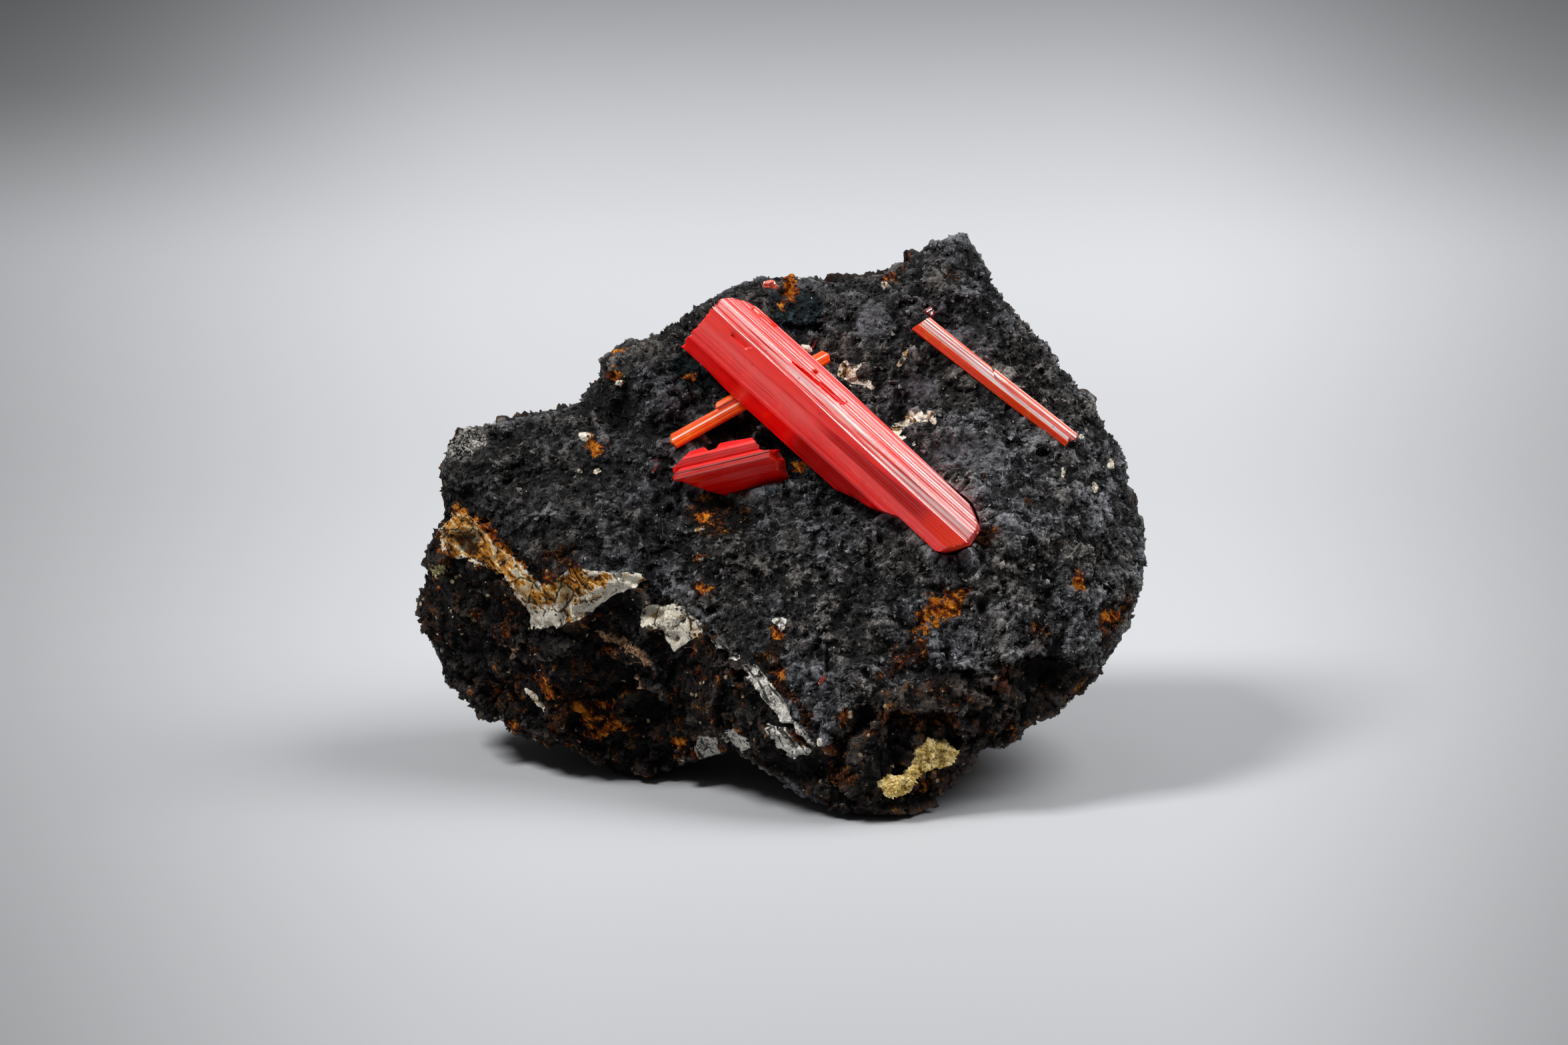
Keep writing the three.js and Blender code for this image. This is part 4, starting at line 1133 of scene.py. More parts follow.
BROKEN_CRYSTAL = {
    "start": (-11.00, 34.40, -5.31),
    "end": (-1.00, 36.80, -5.87),
    "section": [
        (-2.75, -1.35, 4, 0.02), (0.35, 1.25, 3, 0.05), (1.05, 1.35, 3, 0.04), (1.5, 0.3, 2, 0.02),
        (1.4, -1.6, 2, 0.02), (-1.9, -2.0, 2, 0.02),
    ],
    "low_side": [(-0.6, 0.2), (0.2, -0.1), (2.6, -1.7), (4.6, -2.75), (11.0, -2.7)],
    "high_side": [(-0.6, 0.7), (0.6, 1.5), (8.3, 1.5), (9.0, 1.05), (10.6, 0.85)],
    "head": [(-2.7, -0.6), (1.7, -0.6)],
    "tail": [(-2.7, 11.0), (-2.2, 11.4), (-1.2, 10.9), (-0.4, 11.2), (0.3, 10.8), (1.0, 10.9)],
    "bevel": 0.42,
    "ragged": (0.2, 0.5),
    "rows": 70,
    "seed": 31,
}
BROKEN_REAR = {
    "section": [
        (0.9, -1.4, 2, 0.02), (1.0, 0.75, 3, 0.05), (2.0, 1.25, 3, 0.06), (2.8, 0.5, 2, 0.03),
        (2.6, -1.2, 2, 0.02),
    ],
    "low_side": [(-0.4, 0.7), (8.6, 0.7)],
    "high_side": [
        (-0.4, 1.5), (1.6, 2.7), (3.2, 2.8), (3.5, 2.3), (4.4, 2.4), (4.8, 2.85), (8.2, 2.6), (8.6, 1.6),
    ],
    "head": [(0.7, -0.4), (2.8, -0.4)],
    "tail": [(0.7, 8.6), (1.6, 8.6), (2.6, 8.2)],
    "ragged": (0.25, 0.3),
    "rows": 60,
    "seed": 32,
}
THIN_CRYSTAL = {
    "start": (14.10, 50.60, -10.22),
    "end": (29.40, 38.50, -8.83),
    "section": [
        (-1.15, -0.6, 1, 0.01), (-1.08, 0.3, 3, 0.02), (-0.4, 0.76, 5, 0.05), (0.6, 0.85, 3, 0.04),
        (1.0, 0.2, 2, 0.03), (0.8, -0.8, 2, 0.02), (-0.5, -1.1, 2, 0.02),
    ],
    "low_side": [(-0.7, -1.15), (12.0, -1.1), (19.3, -0.9)],
    "high_side": [(-0.7, 1.0), (0.0, 1.0), (8.3, 0.85), (9.2, 0.2), (19.3, 0.2)],
    "whiter": [(-1.0, 1.0), (9.4, 1.0), (10.6, 0.7), (20.0, 0.75)],
    "head": [(-1.0, -0.7), (0.1, -0.3), (1.0, 0.0)],
    "tail": [(-0.8, 19.3), (0.2, 19.1), (1.0, 19.1)],
    "ragged": (0.1, 0.15),
    "rows": 90,
    "seed": 41,
}
THIN_ROD = {
    "section": [
        (-0.1, -0.75, 1, 0.01), (0.0, 0.45, 3, 0.04), (0.5, 0.75, 3, 0.04), (0.95, 0.4, 2, 0.02),
        (1.0, -0.5, 1, 0.01),
    ],
    "low_side": [(8.6, -0.1), (19.7, -0.1)],
    "high_side": [(8.6, 1.1), (19.7, 0.9)],
    "head": [(-0.1, 8.6), (1.1, 8.7)],
    "tail": [(-0.1, 19.3), (0.4, 19.7), (0.9, 19.5)],
    "ragged": (0.1, 0.15),
    "rows": 60,
    "seed": 42,
}


def along(points, x):
    """Reads a value off (place, value) points."""
    xs, ys = zip(*points)
    return np.interp(x, xs, ys)


STRIATION_RUN = 16.0  # the striations change over about this length
STRIATION_APART = 3.7  # far enough in the noise for each column to change in its own way
STRIATION_CHANGE = (0.6, 0.15)  # as shares of a column's height, and of its side's depth
STRIPE_WIDTHS = (0.35, 1.6)
STRIPE_STEP = 0.12  # the share of a stripe that slopes to the next
DRIFT_REACH = 3.4  # where drift ends, from the crystal's middle
GOUGE_DEPTH = 0.4
GOUGE_SOFT = 0.05
GOUGE_FLOOR = -0.4  # gouges are only in the side above this
END_MARGIN = 0.4
RAG_MIDDLE = 0.3


def drifted(plan, p, t):
    """How far across the striations have moved at each place, least at the crystal's sides."""
    inner = 1 - smoothstep(np.abs(p), 0.0, DRIFT_REACH)
    return inner * along(plan.get("drift", [(0, 0)]), t)


def gouged(plan, p, q, t):
    """How deep the wedges and pits broken out of a crystal's outer side are at each place."""
    share = np.zeros(len(p))
    for outline in plan.get("gouges", []):
        inside = shown(outline_distance(outline, np.stack([p, t], -1)), GOUGE_SOFT)
        near, far = min(x for x, _ in outline), max(x for x, _ in outline)
        slant = np.clip((far - p) / (far - near), 0, 1)
        share = np.maximum(share, inside * slant)
    return share * (q > GOUGE_FLOOR)


def striated_section(section, seed):
    """Columns round the section: their place, outward normal and height, two to each stripe."""
    random = np.random.default_rng(seed)
    columns = []
    for i, (p, q, stripes, depth) in enumerate(section):
        a = np.array([p, q])
        b = np.array(section[(i + 1) % len(section)][:2])
        edge = b - a
        normal = np.array([-edge[1], edge[0]]) / np.linalg.norm(edge)
        widths = random.uniform(*STRIPE_WIDTHS, stripes)
        cuts = np.concatenate([[0], np.cumsum(widths) / widths.sum()])
        for j in range(stripes):
            low, high = random.uniform(-1, 1, 2) * depth
            step = STRIPE_STEP * (cuts[j + 1] - cuts[j])
            first = cuts[j] + (step if j else 0)
            columns.append((a + first * edge, normal, low if j else 0.0, depth))
            columns.append((a + (cuts[j + 1] - step) * edge, normal, high, depth))
    return columns


def prism(plan):
    """A striated prism as (places, faces): rings along the axis, trimmed to its outline."""
    columns = striated_section(plan["section"], plan["seed"])
    place, normal, height, depth = (np.array(values) for values in zip(*columns))
    count = len(columns)
    low_t = min(t for _, t in plan["head"]) - END_MARGIN
    high_t = max(t for _, t in plan["tail"]) + END_MARGIN
    rows = np.linspace(low_t, high_t, plan["rows"])
    t = np.repeat(rows, count)
    column = np.tile(np.arange(count), len(rows))
    seed = plan["seed"]
    drift_at = np.stack([column * STRIATION_APART, t / STRIATION_RUN, np.full(len(t), float(seed))], -1)
    drift = perlin(drift_at, 1.0, seed)
    of_height, of_depth = STRIATION_CHANGE
    lift = height[column] * (1 + of_height * drift) + of_depth * depth[column] * drift
    section = place[column] + normal[column] * lift[:, None]
    section[:, 0] += drifted(plan, section[:, 0], t)
    low = along(plan["low_side"], t)
    high = along(plan["high_side"], t)
    p = np.clip(section[:, 0], low, high)
    q = section[:, 1] - GOUGE_DEPTH * gouged(plan, p, section[:, 1], t)
    head_rag, tail_rag = plan["ragged"]
    rag = scrambled(np.stack([column // 2, column * 0, column * 0], -1), seed)
    bevel = plan.get("bevel", 0.0) * (q - section[:, 1].min())
    head = along(plan["head"], p) + head_rag * (rag[:, 0] - RAG_MIDDLE)
    tail = along(plan["tail"], p) - tail_rag * (rag[:, 1] - RAG_MIDDLE) - bevel
    t = np.clip(t, head, tail)
    rings = len(rows)
    faces = ring_faces(rings, count)
    local = np.stack([p, q, t], -1)
    local, faces = capped(local, faces, 0, count, plan, "head")
    local, faces = capped(local, faces, (rings - 1) * count, count, plan, "tail")
    return local, faces


CAP_RINGS = (0.86, 0.68, 0.5, 0.32, 0.15)  # shares of the outermost ring
CAP_LUMP = 0.9


def plan_bevel(plan, end, q, ring):
    """How much shorter a slanting tail is at height q of its section."""
    return plan.get("bevel", 0.0) * (q - ring[:, 1].min()) if end == "tail" else 0.0


def capped(local, faces, start, count, plan, end):
    """Closes an end with rings that shrink to its middle, on the end's own broken outline."""
    sign, rough = (-1, plan["ragged"][0]) if end == "head" else (1, plan["ragged"][1])
    ring = local[start : start + count]
    middle = ring.mean(axis=0)
    rings = [range(start, start + count)]
    for share in CAP_RINGS:
        inner = middle + (ring - middle) * share
        inner[:, 2] = along(plan[end], inner[:, 0]) - plan_bevel(plan, end, inner[:, 1], ring)
        inner[:, 2] += sign * 0.5 * rough * perlin(inner * [1, 1, 0], CAP_LUMP, plan["seed"] + 5)
        rings.append(range(len(local), len(local) + count))
        local = np.concatenate([local, inner])
    centre = len(local)
    tip = float(along(plan[end], middle[0])) - plan_bevel(plan, end, middle[1], ring)
    sides = [(i, (i + 1) % count) for i in range(count)]
    for outer, inner in zip(rings, rings[1:]):
        faces += [(outer[i], inner[i], inner[j], outer[j])[::-sign] for i, j in sides]
    faces += [(rings[-1][i], centre, rings[-1][j])[::-sign] for i, j in sides]
    return np.concatenate([local, [[middle[0], middle[1], tip]]]), faces


def axes_of(plan):
    """Where a crystal starts, and its own unit vectors: p across, q out and t along."""
    start = from_face(*plan["start"])
    axis = from_face(*plan["end"]) - start
    axis /= np.linalg.norm(axis)
    across = np.cross(FACE_W, axis)
    across /= np.linalg.norm(across)
    out = np.cross(axis, across)
    return start, np.stack([across, out, axis])


def unite(first, second):
    """Joins two overlapping closed pieces in one solid."""
    with_modifier(first, "BOOLEAN", operation="UNION", object=second, solver="MANIFOLD")
    mesh = second.data
    bpy.data.objects.remove(second)
    bpy.data.meshes.remove(mesh)
    return first


SHARP_TURN = math.radians(4)
END_TURN = (0.35, 0.7)  # from sides to ends, by the share of the normal along the axis
FROST_AND_HIGHLIGHT_RISE = (-0.6, -0.1)  # frost and its painted highlight are on the outer faces alone, from this far out
DULL_SIDE = 0.1  # `duller` holds below this place across, and `whiter` above it


def crystal(name, node, plans, material):
    """One crystal, joined from its prisms, with its own places stored for its material."""
    start, axes = axes_of(plans[0])
    piece = None
    for i, plan in enumerate(plans):
        local, faces = prism(plan)
        part = new_piece(f"{name}_{i}", start + local @ axes, faces)
        tidy_normals(part)
        piece = unite(piece, part) if piece else part
    tidy_normals(piece)
    local = (places_of(piece.data) - start) @ axes.T
    for axis, values in zip(("across", "out", "along"), local.T):
        store(piece.data, axis, values)
    p, q, t = local.T
    store(piece.data, "lane", p - drifted(plans[0], p, t))
    ends = smoothstep(np.abs(normals_of(piece.data) @ axes[2]), *END_TURN)
    store(piece.data, "ends", ends)
    # Painted highlight and painted reflection: the frosting, strongest on the outer faces and away from the
    # ends.
    whiter = along(plans[0].get("whiter", [(0, 1)]), t)
    whiter = np.where(p < DULL_SIDE, along(plans[0].get("duller", [(0, 1)]), t), whiter)
    store(piece.data, "frost_and_highlight", whiter * (1 - ends) * smoothstep(q, *FROST_AND_HIGHLIGHT_RISE))
    piece.name = name
    piece.data.name = name
    wear(piece, material)
    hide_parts(node)
    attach(piece, "root")


def tidy_normals(piece):
    """Welds a piece's corners, turns its faces outwards and keeps its striations crisp."""
    work = bmesh.new()
    work.from_mesh(piece.data)
    bmesh.ops.remove_doubles(work, verts=work.verts, dist=WELD)
    bmesh.ops.dissolve_degenerate(work, edges=work.edges, dist=WELD)
    bmesh.ops.recalc_face_normals(work, faces=work.faces)
    if work.calc_volume(signed=True) < 0:
        bmesh.ops.reverse_faces(work, faces=work.faces)
    work.to_mesh(piece.data)
    work.free()
    shade(piece.data, SHARP_TURN)


# Where clear crystal shows in the large one, and where bands of it are darker, lighter or greyer:
# the range along it, how far across it begins and ends at each end of that range, its two colours,
# its share, and its soft edges across and along.
LARGE_MARKS = (
    (8.6, 15.7, (1.62, 1.76), (1.82, 2.56), "#f01800", "#da0c00", 1.0, 0.03, 0.08),
    (10.8, 11.3, (2.40, 2.40), (2.80, 2.80), "#d81408", "#c00c06", 1.0, 0.03, 0.08),
    (1.5, 4.6, (3.00, 3.22), (3.42, 3.52), "#f43400", "#d81c00", 1.0, 0.03, 0.08),
    (1.4, 4.8, (-0.30, -0.45), (0.02, -0.12), "#f02004", "#d01404", 0.8, 0.03, 0.2),
    (14.0, 24.0, (-6.0, -6.0), (-3.3, -3.3), "#9c0000", "#9c0000", 0.8, 0.3, 1.4),
    (16.0, 30.0, (-1.62, -1.60), (-0.80, -0.15), "#b80804", "#a80604", 0.85, 0.1, 2.0),
    (30.0, 36.0, (-1.75, -1.75), (-0.15, -0.15), "#ec2c0c", "#f4400f", 0.8, 0.1, 0.8),
    (-1.5, 12.0, (-0.9, -0.9), (0.4, 0.3), "#ff3420", "#ff2a14", 0.5, 0.3, 3.0),
    (27.0, 36.0, (1.9, 1.9), (4.0, 4.0), "#a4443e", "#a03c38", 0.4, 0.2, 2.0),
    # This grey dims the painted highlight on the right side of the tail.
    (25.0, 36.0, (0.1, 0.1), (4.2, 4.2), "#98898a", "#94807e", 0.34, 0.1, 2.0),
)
# How frosted each crystal is across its width, which is where it is painted with highlight and reflection:
# (place in mm, share) from one side to the other.
LARGE_LANES = [
    (-5.0, 0.0), (-3.3, 0.0), (-3.05, 0.24), (-2.7, 0.25), (-2.3, 0.34), (-1.7, 0.34), (-1.2, 0.28),
    (-0.75, 0.2), (-0.22, 0.12), (-0.1, 0.5), (0.0, 0.85), (0.18, 1.0), (0.34, 0.5), (0.5, 0.85),
    (0.64, 0.9), (0.76, 0.6), (0.95, 0.9), (1.15, 0.9), (1.3, 0.4), (1.5, 0.8), (1.75, 0.7),
    (1.92, 0.3), (2.05, 0.7), (2.16, 0.3), (2.34, 0.8), (2.54, 0.35), (2.76, 0.8), (2.94, 0.25),
    (3.25, 0.4), (3.8, 0.2),
]
THIN_LANES = [
    (-1.3, 0.0), (-0.36, 0.0), (-0.28, 0.8), (-0.15, 0.9), (-0.05, 1.0), (0.06, 0.95), (0.12, 0.5),
    (0.2, 0.75), (0.28, 0.55), (0.36, 1.0), (0.46, 1.0), (0.52, 0.5), (0.62, 0.8), (0.72, 0.6),
    (0.8, 0.3), (1.2, 0.2),
]
CROSSING_LANES = [
    (-1.0, 0.0), (-0.04, 0.0), (0.08, 0.7), (0.16, 0.9), (0.24, 0.4), (0.32, 0.0), (0.6, 0.1),
    (0.7, 0.25), (0.85, 0.0), (0.95, 0.2), (1.1, 0.3), (1.2, 0.0), (1.6, 0.0),
]
BROKEN_LANES = [
    (-2.8, 0.0), (0.1, 0.0), (0.24, 0.4), (0.46, 0.4), (0.54, 0.2), (0.66, 0.55), (0.9, 0.5),
    (1.0, 0.15), (1.4, 0.25), (1.6, 0.05), (1.8, 0.2), (2.0, 0.05), (2.2, 0.25), (2.4, 0.0), (3.0, 0.0),
]


CROCOITE_IOR = 2.3


def crocoite_material(name, tint, deep, glow, pink, white, lanes, inner, depth, dull, marks=()):
    """Red to orange crystal: lengthwise lines, frosted lanes with painted highlight and painted reflection,
    clear gouges and dark flaws.

    Clear crystal is `deep` to `tint`, with `glow` in its cloudy parts, and frosted crystal is
    `pink` to `white`, partly frosting and partly painted highlight and painted reflection. `inner` and
    `depth` (mm) say how light spreads in it, and `dull` how rough the gaps between the lanes are.
    """
    g = Graph(name)
    across, run, out, frost_and_highlight = (g.attribute(kind) for kind in ("across", "along", "out", "frost_and_highlight"))
    lines = g.joined(across, g.times(run, 0.018), out)
    stripe = g.noise(0.27 / MM, detail=4, roughness=0.75, vector=lines)
    wide = g.noise(1.1 / MM, detail=2, vector=lines)
    cloud = g.noise(2.2, detail=5, roughness=0.65, distortion=0.6)
    share = g.add(g.times(g.rise(wide, 0.35, 0.65), 0.4), g.times(g.rise(cloud, 0.35, 0.65), 0.6))
    base = g.mix(share, deep, tint)
    base = g.mix(g.times(g.rise(cloud, 0.56, 0.68), 0.7), base, glow)
    least = g.rise(across, -0.3, 0.1, 0.65, 0.2 if dull else 0.6)
    lane = g.times(g.ramp(g.attribute("lane"), lanes), g.rise(stripe, 0.38, 0.56, least, 1.12))
    lane = g.times(lane, g.rise(wide, 0.35, 0.6, 0.7, 1.1))
    # Painted highlight and painted reflection: the frosted lanes are painted pink to white.
    frost_and_highlight_share = g.times(frost_and_highlight, lane)
    base = g.mix(frost_and_highlight_share, base, g.mix(g.rise(frost_and_highlight_share, 0.3, 0.85), pink, white))
    faint = g.add(g.times(frost_and_highlight, g.rise(across, -0.3, 0.1, 0.1, 0.5)), 0.2)
    base = g.mix(g.times(g.rise(stripe, 0.44, 0.37), faint), base, "#7c0f0c")
    flaw = g.rise(g.cells(1.5), 0.05, 0.1, 1.0, 0.0)
    base = g.mix(g.times(flaw, 0.5), base, "#8a0604")
    clear_marks = 0.0
    for start, end, low, high, near, far, strength, soft, fade in marks:
        above = g.add(across, g.times(g.line(run, start, end, *low), -1.0))
        below = g.add(g.line(run, start, end, *high), g.times(across, -1.0))
        mark = g.times(
            g.rise(run, start - fade, start + fade),
            g.rise(run, end + fade, end - fade),
            g.times(g.rise(above, -soft, soft), g.rise(below, -soft, soft)),
            g.rise(out, -0.5, -0.3, 0.0, strength),
        )
        base = g.mix(mark, base, g.mix(g.rise(run, start, end), near, far))
        if strength == 1.0:  # a break that shows clear, smooth crystal
            clear_marks = g.most(mark, clear_marks)
    rough = g.add(g.times(g.noise(0.6), 0.14), g.add(g.times(g.attribute("ends"), 0.35), 0.08))
    rough = g.times(rough, g.rise(clear_marks, 0.0, 1.0, 1.0, 0.2))
    if dull:
        gap = g.times(frost_and_highlight, g.times(g.rise(lane, 0.5, 0.05), g.rise(across, -0.8, -0.4)))
        rough = g.add(rough, g.times(gap, dull))
    return g.finish(
        Base_Color=base,
        Roughness=rough,
        Normal=g.bump(stripe, 0.026),
        IOR=CROCOITE_IOR,
        Specular_IOR_Level=0.2,
        Transmission_Weight=0.05,
        Subsurface_Weight=inner,
        Subsurface_Radius=(1.0, 0.12, 0.03),
        Subsurface_Scale=depth * MM,
    )


def chip_material(name, tint, deep):
    """A splinter of the same crystal, too small to show its lines."""
    g = Graph(name)
    share = g.rise(g.noise(0.5, detail=4, distortion=0.6), 0.35, 0.65)
    return g.finish(
        Base_Color=g.mix(share, deep, tint),
        Roughness=g.add(g.times(g.noise(0.25), 0.3), 0.08),
        Normal=g.bump(g.noise(0.22, detail=2), 0.05),
        IOR=CROCOITE_IOR,
        Transmission_Weight=0.12,
        Subsurface_Weight=0.3,
        Subsurface_Radius=(1.0, 0.2, 0.08),
        Subsurface_Scale=0.6 * MM,
    )


def sulphur_material():
    """Pale yellow grains, with painted shade in the hollows between them."""
    g = Graph("yellow_crust")
    fine = g.noise(0.18, detail=3, roughness=0.6)
    patch = g.noise(1.4, detail=4, roughness=0.6)
    base = g.mix(g.rise(patch, 0.35, 0.65), "#eccd78", "#fdebb2")
    # Painted shade: the hollows between the grains are painted darker.
    base = g.mix(g.rise(g.attribute("height"), -0.15, -0.6, 0.0, 0.8), base, "#9a7a2c")
    base = g.mix(g.times(g.rise(fine, 0.46, 0.36), 0.5), base, "#b89c4c")
    return g.finish(
        Base_Color=base,
        Roughness=g.add(g.times(fine, -0.2), 0.95),
        Normal=g.bump(fine, 0.12),
        Specular_IOR_Level=0.3,
    )


def remade(node, name, voxel):
    """A fine even mesh of a CAD node, as a new piece."""
    piece = frame["nodes"][node].copy()
    piece.data = piece.data.copy()
    piece.name = name
    bpy.context.scene.collection.objects.link(piece)
    piece.parent = None
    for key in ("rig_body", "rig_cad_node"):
        del piece[key]
    with_modifier(piece, "REMESH", mode="VOXEL", voxel_size=voxel * MM, adaptivity=0)
    return piece


CRUMBS = 5200
CRUMB_SIZE = (0.1, 0.3)
CRUST_VOXEL = 0.16
CRUST_LAYERS = ((1.6, 0.6), (0.6, 0.35))
CRUST_LOBES = 0.8  # how far apart the crust's lobes are
CRUST_DOME = 0.3
CRUST_EDGE = 0.42  # where a lobe's dome ends, as a share of CRUST_LOBES
CRUST_SINK = 0.36
CRUMB_RISE = (0.06, 0.2)  # how much higher than the crust its crumbs count for its painted shade, and the spread


def crust():
    """A granular crust: a crumbly core with crumbs all over it, joined in one mesh."""
    core = remade("yellow_crust", "crust_core", CRUST_VOXEL)
    mesh = core.data
    places = smoothed(mesh, places_of(mesh), rounds=3, share=0.5)
    set_places(mesh, places)
    coarse, _ = worley(places, CRUST_LOBES, 71)
    relief = CRUST_DOME * (CRUST_EDGE - coarse) + fractal(places, CRUST_LAYERS, 73) - CRUST_SINK
    places = places + normals_of(mesh) * relief[:, None]
    set_places(mesh, places)
    random = np.random.default_rng(103)
    seats, normals, source = scattered(mesh, np.ones(len(places)), CRUMBS, random)
    corners, faces = angular(seats, normals, random, *CRUMB_SIZE)
    sides = [tuple(polygon.vertices) for polygon in mesh.polygons]
    sides += (faces.reshape(-1, 3) + len(places)).tolist()
    piece = new_piece("sulphur_crust", np.concatenate([places, corners.reshape(-1, 3)]), sides, smooth=False)
    crumb_height = relief[source] + random.normal(*CRUMB_RISE, CRUMBS)
    store(piece.data, "height", np.concatenate([relief, np.repeat(crumb_height, corners.shape[1])]))
    piece.data.materials.append(sulphur_material())
    bpy.data.objects.remove(core)
    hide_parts("yellow_crust")
    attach(piece, "root")


CHIP_VOXEL = 0.08
CHIP_SHARP = math.radians(28)
CHIP_FACET = 0.5
CHIP_RELIEF = 0.07


def chip(node, name, slim, material):
    """A small broken splinter with uneven faces, `slim` millimetres inside its solid."""
    piece = remade(node, name, CHIP_VOXEL)
    mesh = piece.data
    places = places_of(mesh)
    relief = CHIP_RELIEF * facets(places, CHIP_FACET, 81) - slim
    set_places(mesh, places + normals_of(mesh) * relief[:, None])
    shade(mesh, CHIP_SHARP)
    wear(piece, material)
    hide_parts(node)
    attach(piece, "root")


# Each kind of crocoite: the clear colours from pale to deep, that of cloudy parts, the frosted
# ones, which are painted highlight and painted reflection as well as frosting, its frosted lanes,
# how much and how deep light spreads in it, how rough it is between the lanes, and its marks.
CROCOITE_LOOKS = {
    "large": ("#ff0c06", "#e80301", "#ff2408", "#f88a84", "#e8cac6", LARGE_LANES, 0.4, 0.9, 0.3, LARGE_MARKS),
    "broken": ("#ff0800", "#f00200", "#ff2404", "#e07c78", "#f0d0d0", BROKEN_LANES, 0.3, 0.8, 0.0),
    "crossing": ("#ff6a0c", "#ff4a04", "#ff8a24", "#ffb498", "#ffe8de", CROSSING_LANES, 0.4, 0.7, 0.0),
    "thin": ("#ff5206", "#ff3a02", "#ff7c1c", "#ffc4b8", "#ffffff", THIN_LANES, 0.3, 0.6, 0.0),
}
# Each crystal: its piece, the node it dresses, its kind, the prisms it is joined from, its slot.
CRYSTALS = (
    ("large_prism", "large_crystal", "large", [LARGE_CRYSTAL], "red_crocoite"),
    ("crossing_prism", "crossing_crystal", "crossing", [CROSSING_CRYSTAL, CROSSING_ROD], "orange_crocoite"),
    ("broken_prism", "broken_crystal", "broken", [BROKEN_CRYSTAL, BROKEN_REAR], "red_crocoite"),
    ("thin_prism", "thin_crystal", "thin", [THIN_CRYSTAL, THIN_ROD], "orange_crocoite"),
)


def crystals(rock_piece):
    materials = {kind: crocoite_material(f"{kind}_crocoite", *look) for kind, look in CROCOITE_LOOKS.items()}
    for name, node, kind, plans, slot in CRYSTALS:
        crystal(name, node, plans, materials[kind])
    coral = chip_material("coral_chip", "#f08a6c", "#d84a2c")
    dark_red = chip_material("dark_crocoite", "#a31a14", "#4c0806")
    splinter = chip_material("splinter_crocoite", "#b02e20", "#5e0f0a")
    chip("coral_chip", "coral_splinter", 0.0, coral)
    chip("dark_red_chip", "dark_red_splinter", 0.0, dark_red)
    chip("red_sliver", "red_splinter", 0.16, splinter)
    shards(rock_piece, splinter)


# ---- stage, lights and camera

# Half the width of the view on the ground, in metres: beside the object, its growth with depth,
# and the least that it is.
VIEW_HALF_WIDTH = {"here": 0.0826, "per_metre": 0.174, "least": 0.06}
FLOOR_SHADE = 0.5625


def stage_material():
    """A floor with painted light and shade: it darkens towards the sides of the view, and changes towards the
    back.
    """
    g = Graph("studio_sweep")
    x, y, _ = g.node("ShaderNodeSeparateXYZ", {0: g.place}).outputs
    width = g.add(g.times(y, VIEW_HALF_WIDTH["per_metre"]), VIEW_HALF_WIDTH["here"])
    rightwards = g.math("DIVIDE", x, g.most(width, VIEW_HALF_WIDTH["least"]))
    # For each side: where it darkens and how much, its light far outside the view, and how much
    # darker it is at the back.
    sides = (
        (g.times(rightwards, -1.0), (0.25, 1.35, 1.0, 0.45), 1.7, -0.46),
        (rightwards, (0.45, 1.3, 1.0, 0.5), 1.4, -0.33),
    )
    depth = g.rise(y, 0.25, 0.46)
    light = g.times(g.rise(y, -0.13, 0.06, 0.7, 1.0), g.rise(y, 0.1, 0.3, 1.0, 1.35))
    light = g.times(light, g.rise(y, 0.36, 0.62, 1.0, 0.85))
    for side, darkens, outside, behind in sides:
        back = g.add(g.times(depth, g.rise(side, 0.35, 1.0), behind), 1.0)
        light = g.times(light, g.rise(side, *darkens), g.rise(side, 1.6, 5.0, 1.0, outside), back)
    base = g.mix(g.times(light, FLOOR_SHADE), "#000000", "#e8e9ec")
    return g.finish(Base_Color=base, Roughness=0.7, Specular_IOR_Level=0.2)


# The floor and its rise at the back, as (distance from the object, height) in mm.
SWEEP = [(0, 0), (900, 0), (1040, 12), (1160, 55), (1250, 130), (1300, 240), (1320, 1500)]
SWEEP_SIDES = 96


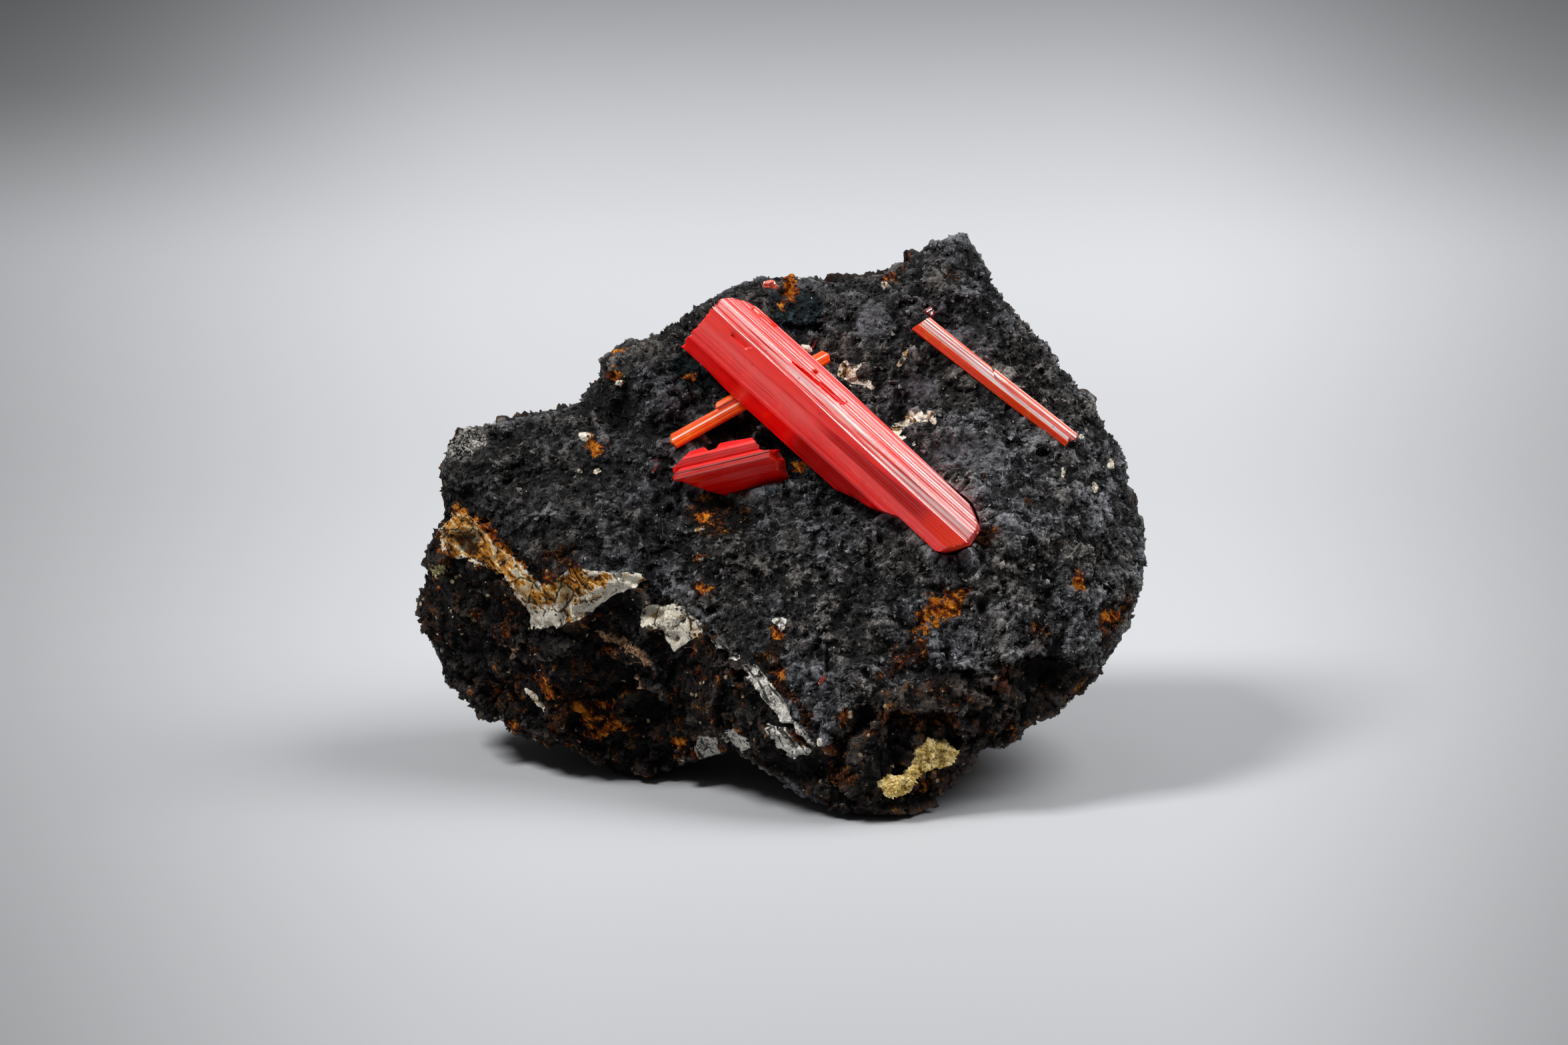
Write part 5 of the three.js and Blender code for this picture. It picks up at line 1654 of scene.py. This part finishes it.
def studio_sweep():
    """A round floor that curves up into a wall."""
    count = SWEEP_SIDES
    places = [(0.0, 0.0, 0.0)]
    for radius, height in SWEEP[1:]:
        for i in range(count):
            angle = 2 * math.pi * i / count
            places.append((radius * math.cos(angle), radius * math.sin(angle), height))
    faces = [(0, 1 + i, 1 + (i + 1) % count) for i in range(count)]
    for ring in range(len(SWEEP) - 2):
        a = 1 + ring * count
        b = a + count
        for i in range(count):
            j = (i + 1) % count
            faces.append((a + i, b + i, b + j, a + j))
    piece = new_piece("studio_sweep", places, faces)
    piece.data.materials.append(stage_material())


def area_light(name, place, aim, size, power):
    light = bpy.data.lights.new(name, "AREA")
    light.shape = "RECTANGLE"
    light.size, light.size_y = size[0] * MM, size[1] * MM
    light.energy = power
    lamp = bpy.data.objects.new(name, light)
    bpy.context.scene.collection.objects.link(lamp)
    lamp.location = Vector(place) * MM
    lamp.rotation_euler = (Vector(aim) - Vector(place)).to_track_quat("-Z", "Y").to_euler()


def studio():
    studio_sweep()
    area_light("right_softbox", (380, 30, 520), (0, 0, 20), (420, 420), 4.4)
    area_light("left_softbox", (-330, -100, 490), (0, 0, 15), (140, 170), 3.6)
    world = bpy.data.worlds.new("studio")
    bpy.context.scene.world = world
    world.use_nodes = True
    background = world.node_tree.nodes["Background"]
    background.inputs["Color"].default_value = colour("#dfe3e8")
    background.inputs["Strength"].default_value = 0.45
    bpy.context.scene.view_settings.view_transform = "Standard"


def camera():
    data = bpy.data.cameras.new("camera")
    data.lens = LENS
    data.sensor_width = SENSOR
    data.clip_start = 0.01
    data.clip_end = 20
    eye = bpy.data.objects.new("camera", data)
    bpy.context.scene.collection.objects.link(eye)
    eye.matrix_world = Matrix.Translation(Vector(CAMERA_PLACE) * MM) @ Matrix(
        np.stack([FACE_U, FACE_V, FACE_W], axis=1).tolist()
    ).to_4x4()
    bpy.context.scene.camera = eye


camera()
studio()
gossan = gossan_material()
rock_piece, surface = rock(gossan)
clear = clear_of_crystals(rock_piece.data)
grains(rock_piece, surface, clear, gossan)
fibres(rock_piece, surface, clear, gossan)
crystals(rock_piece)
crust()
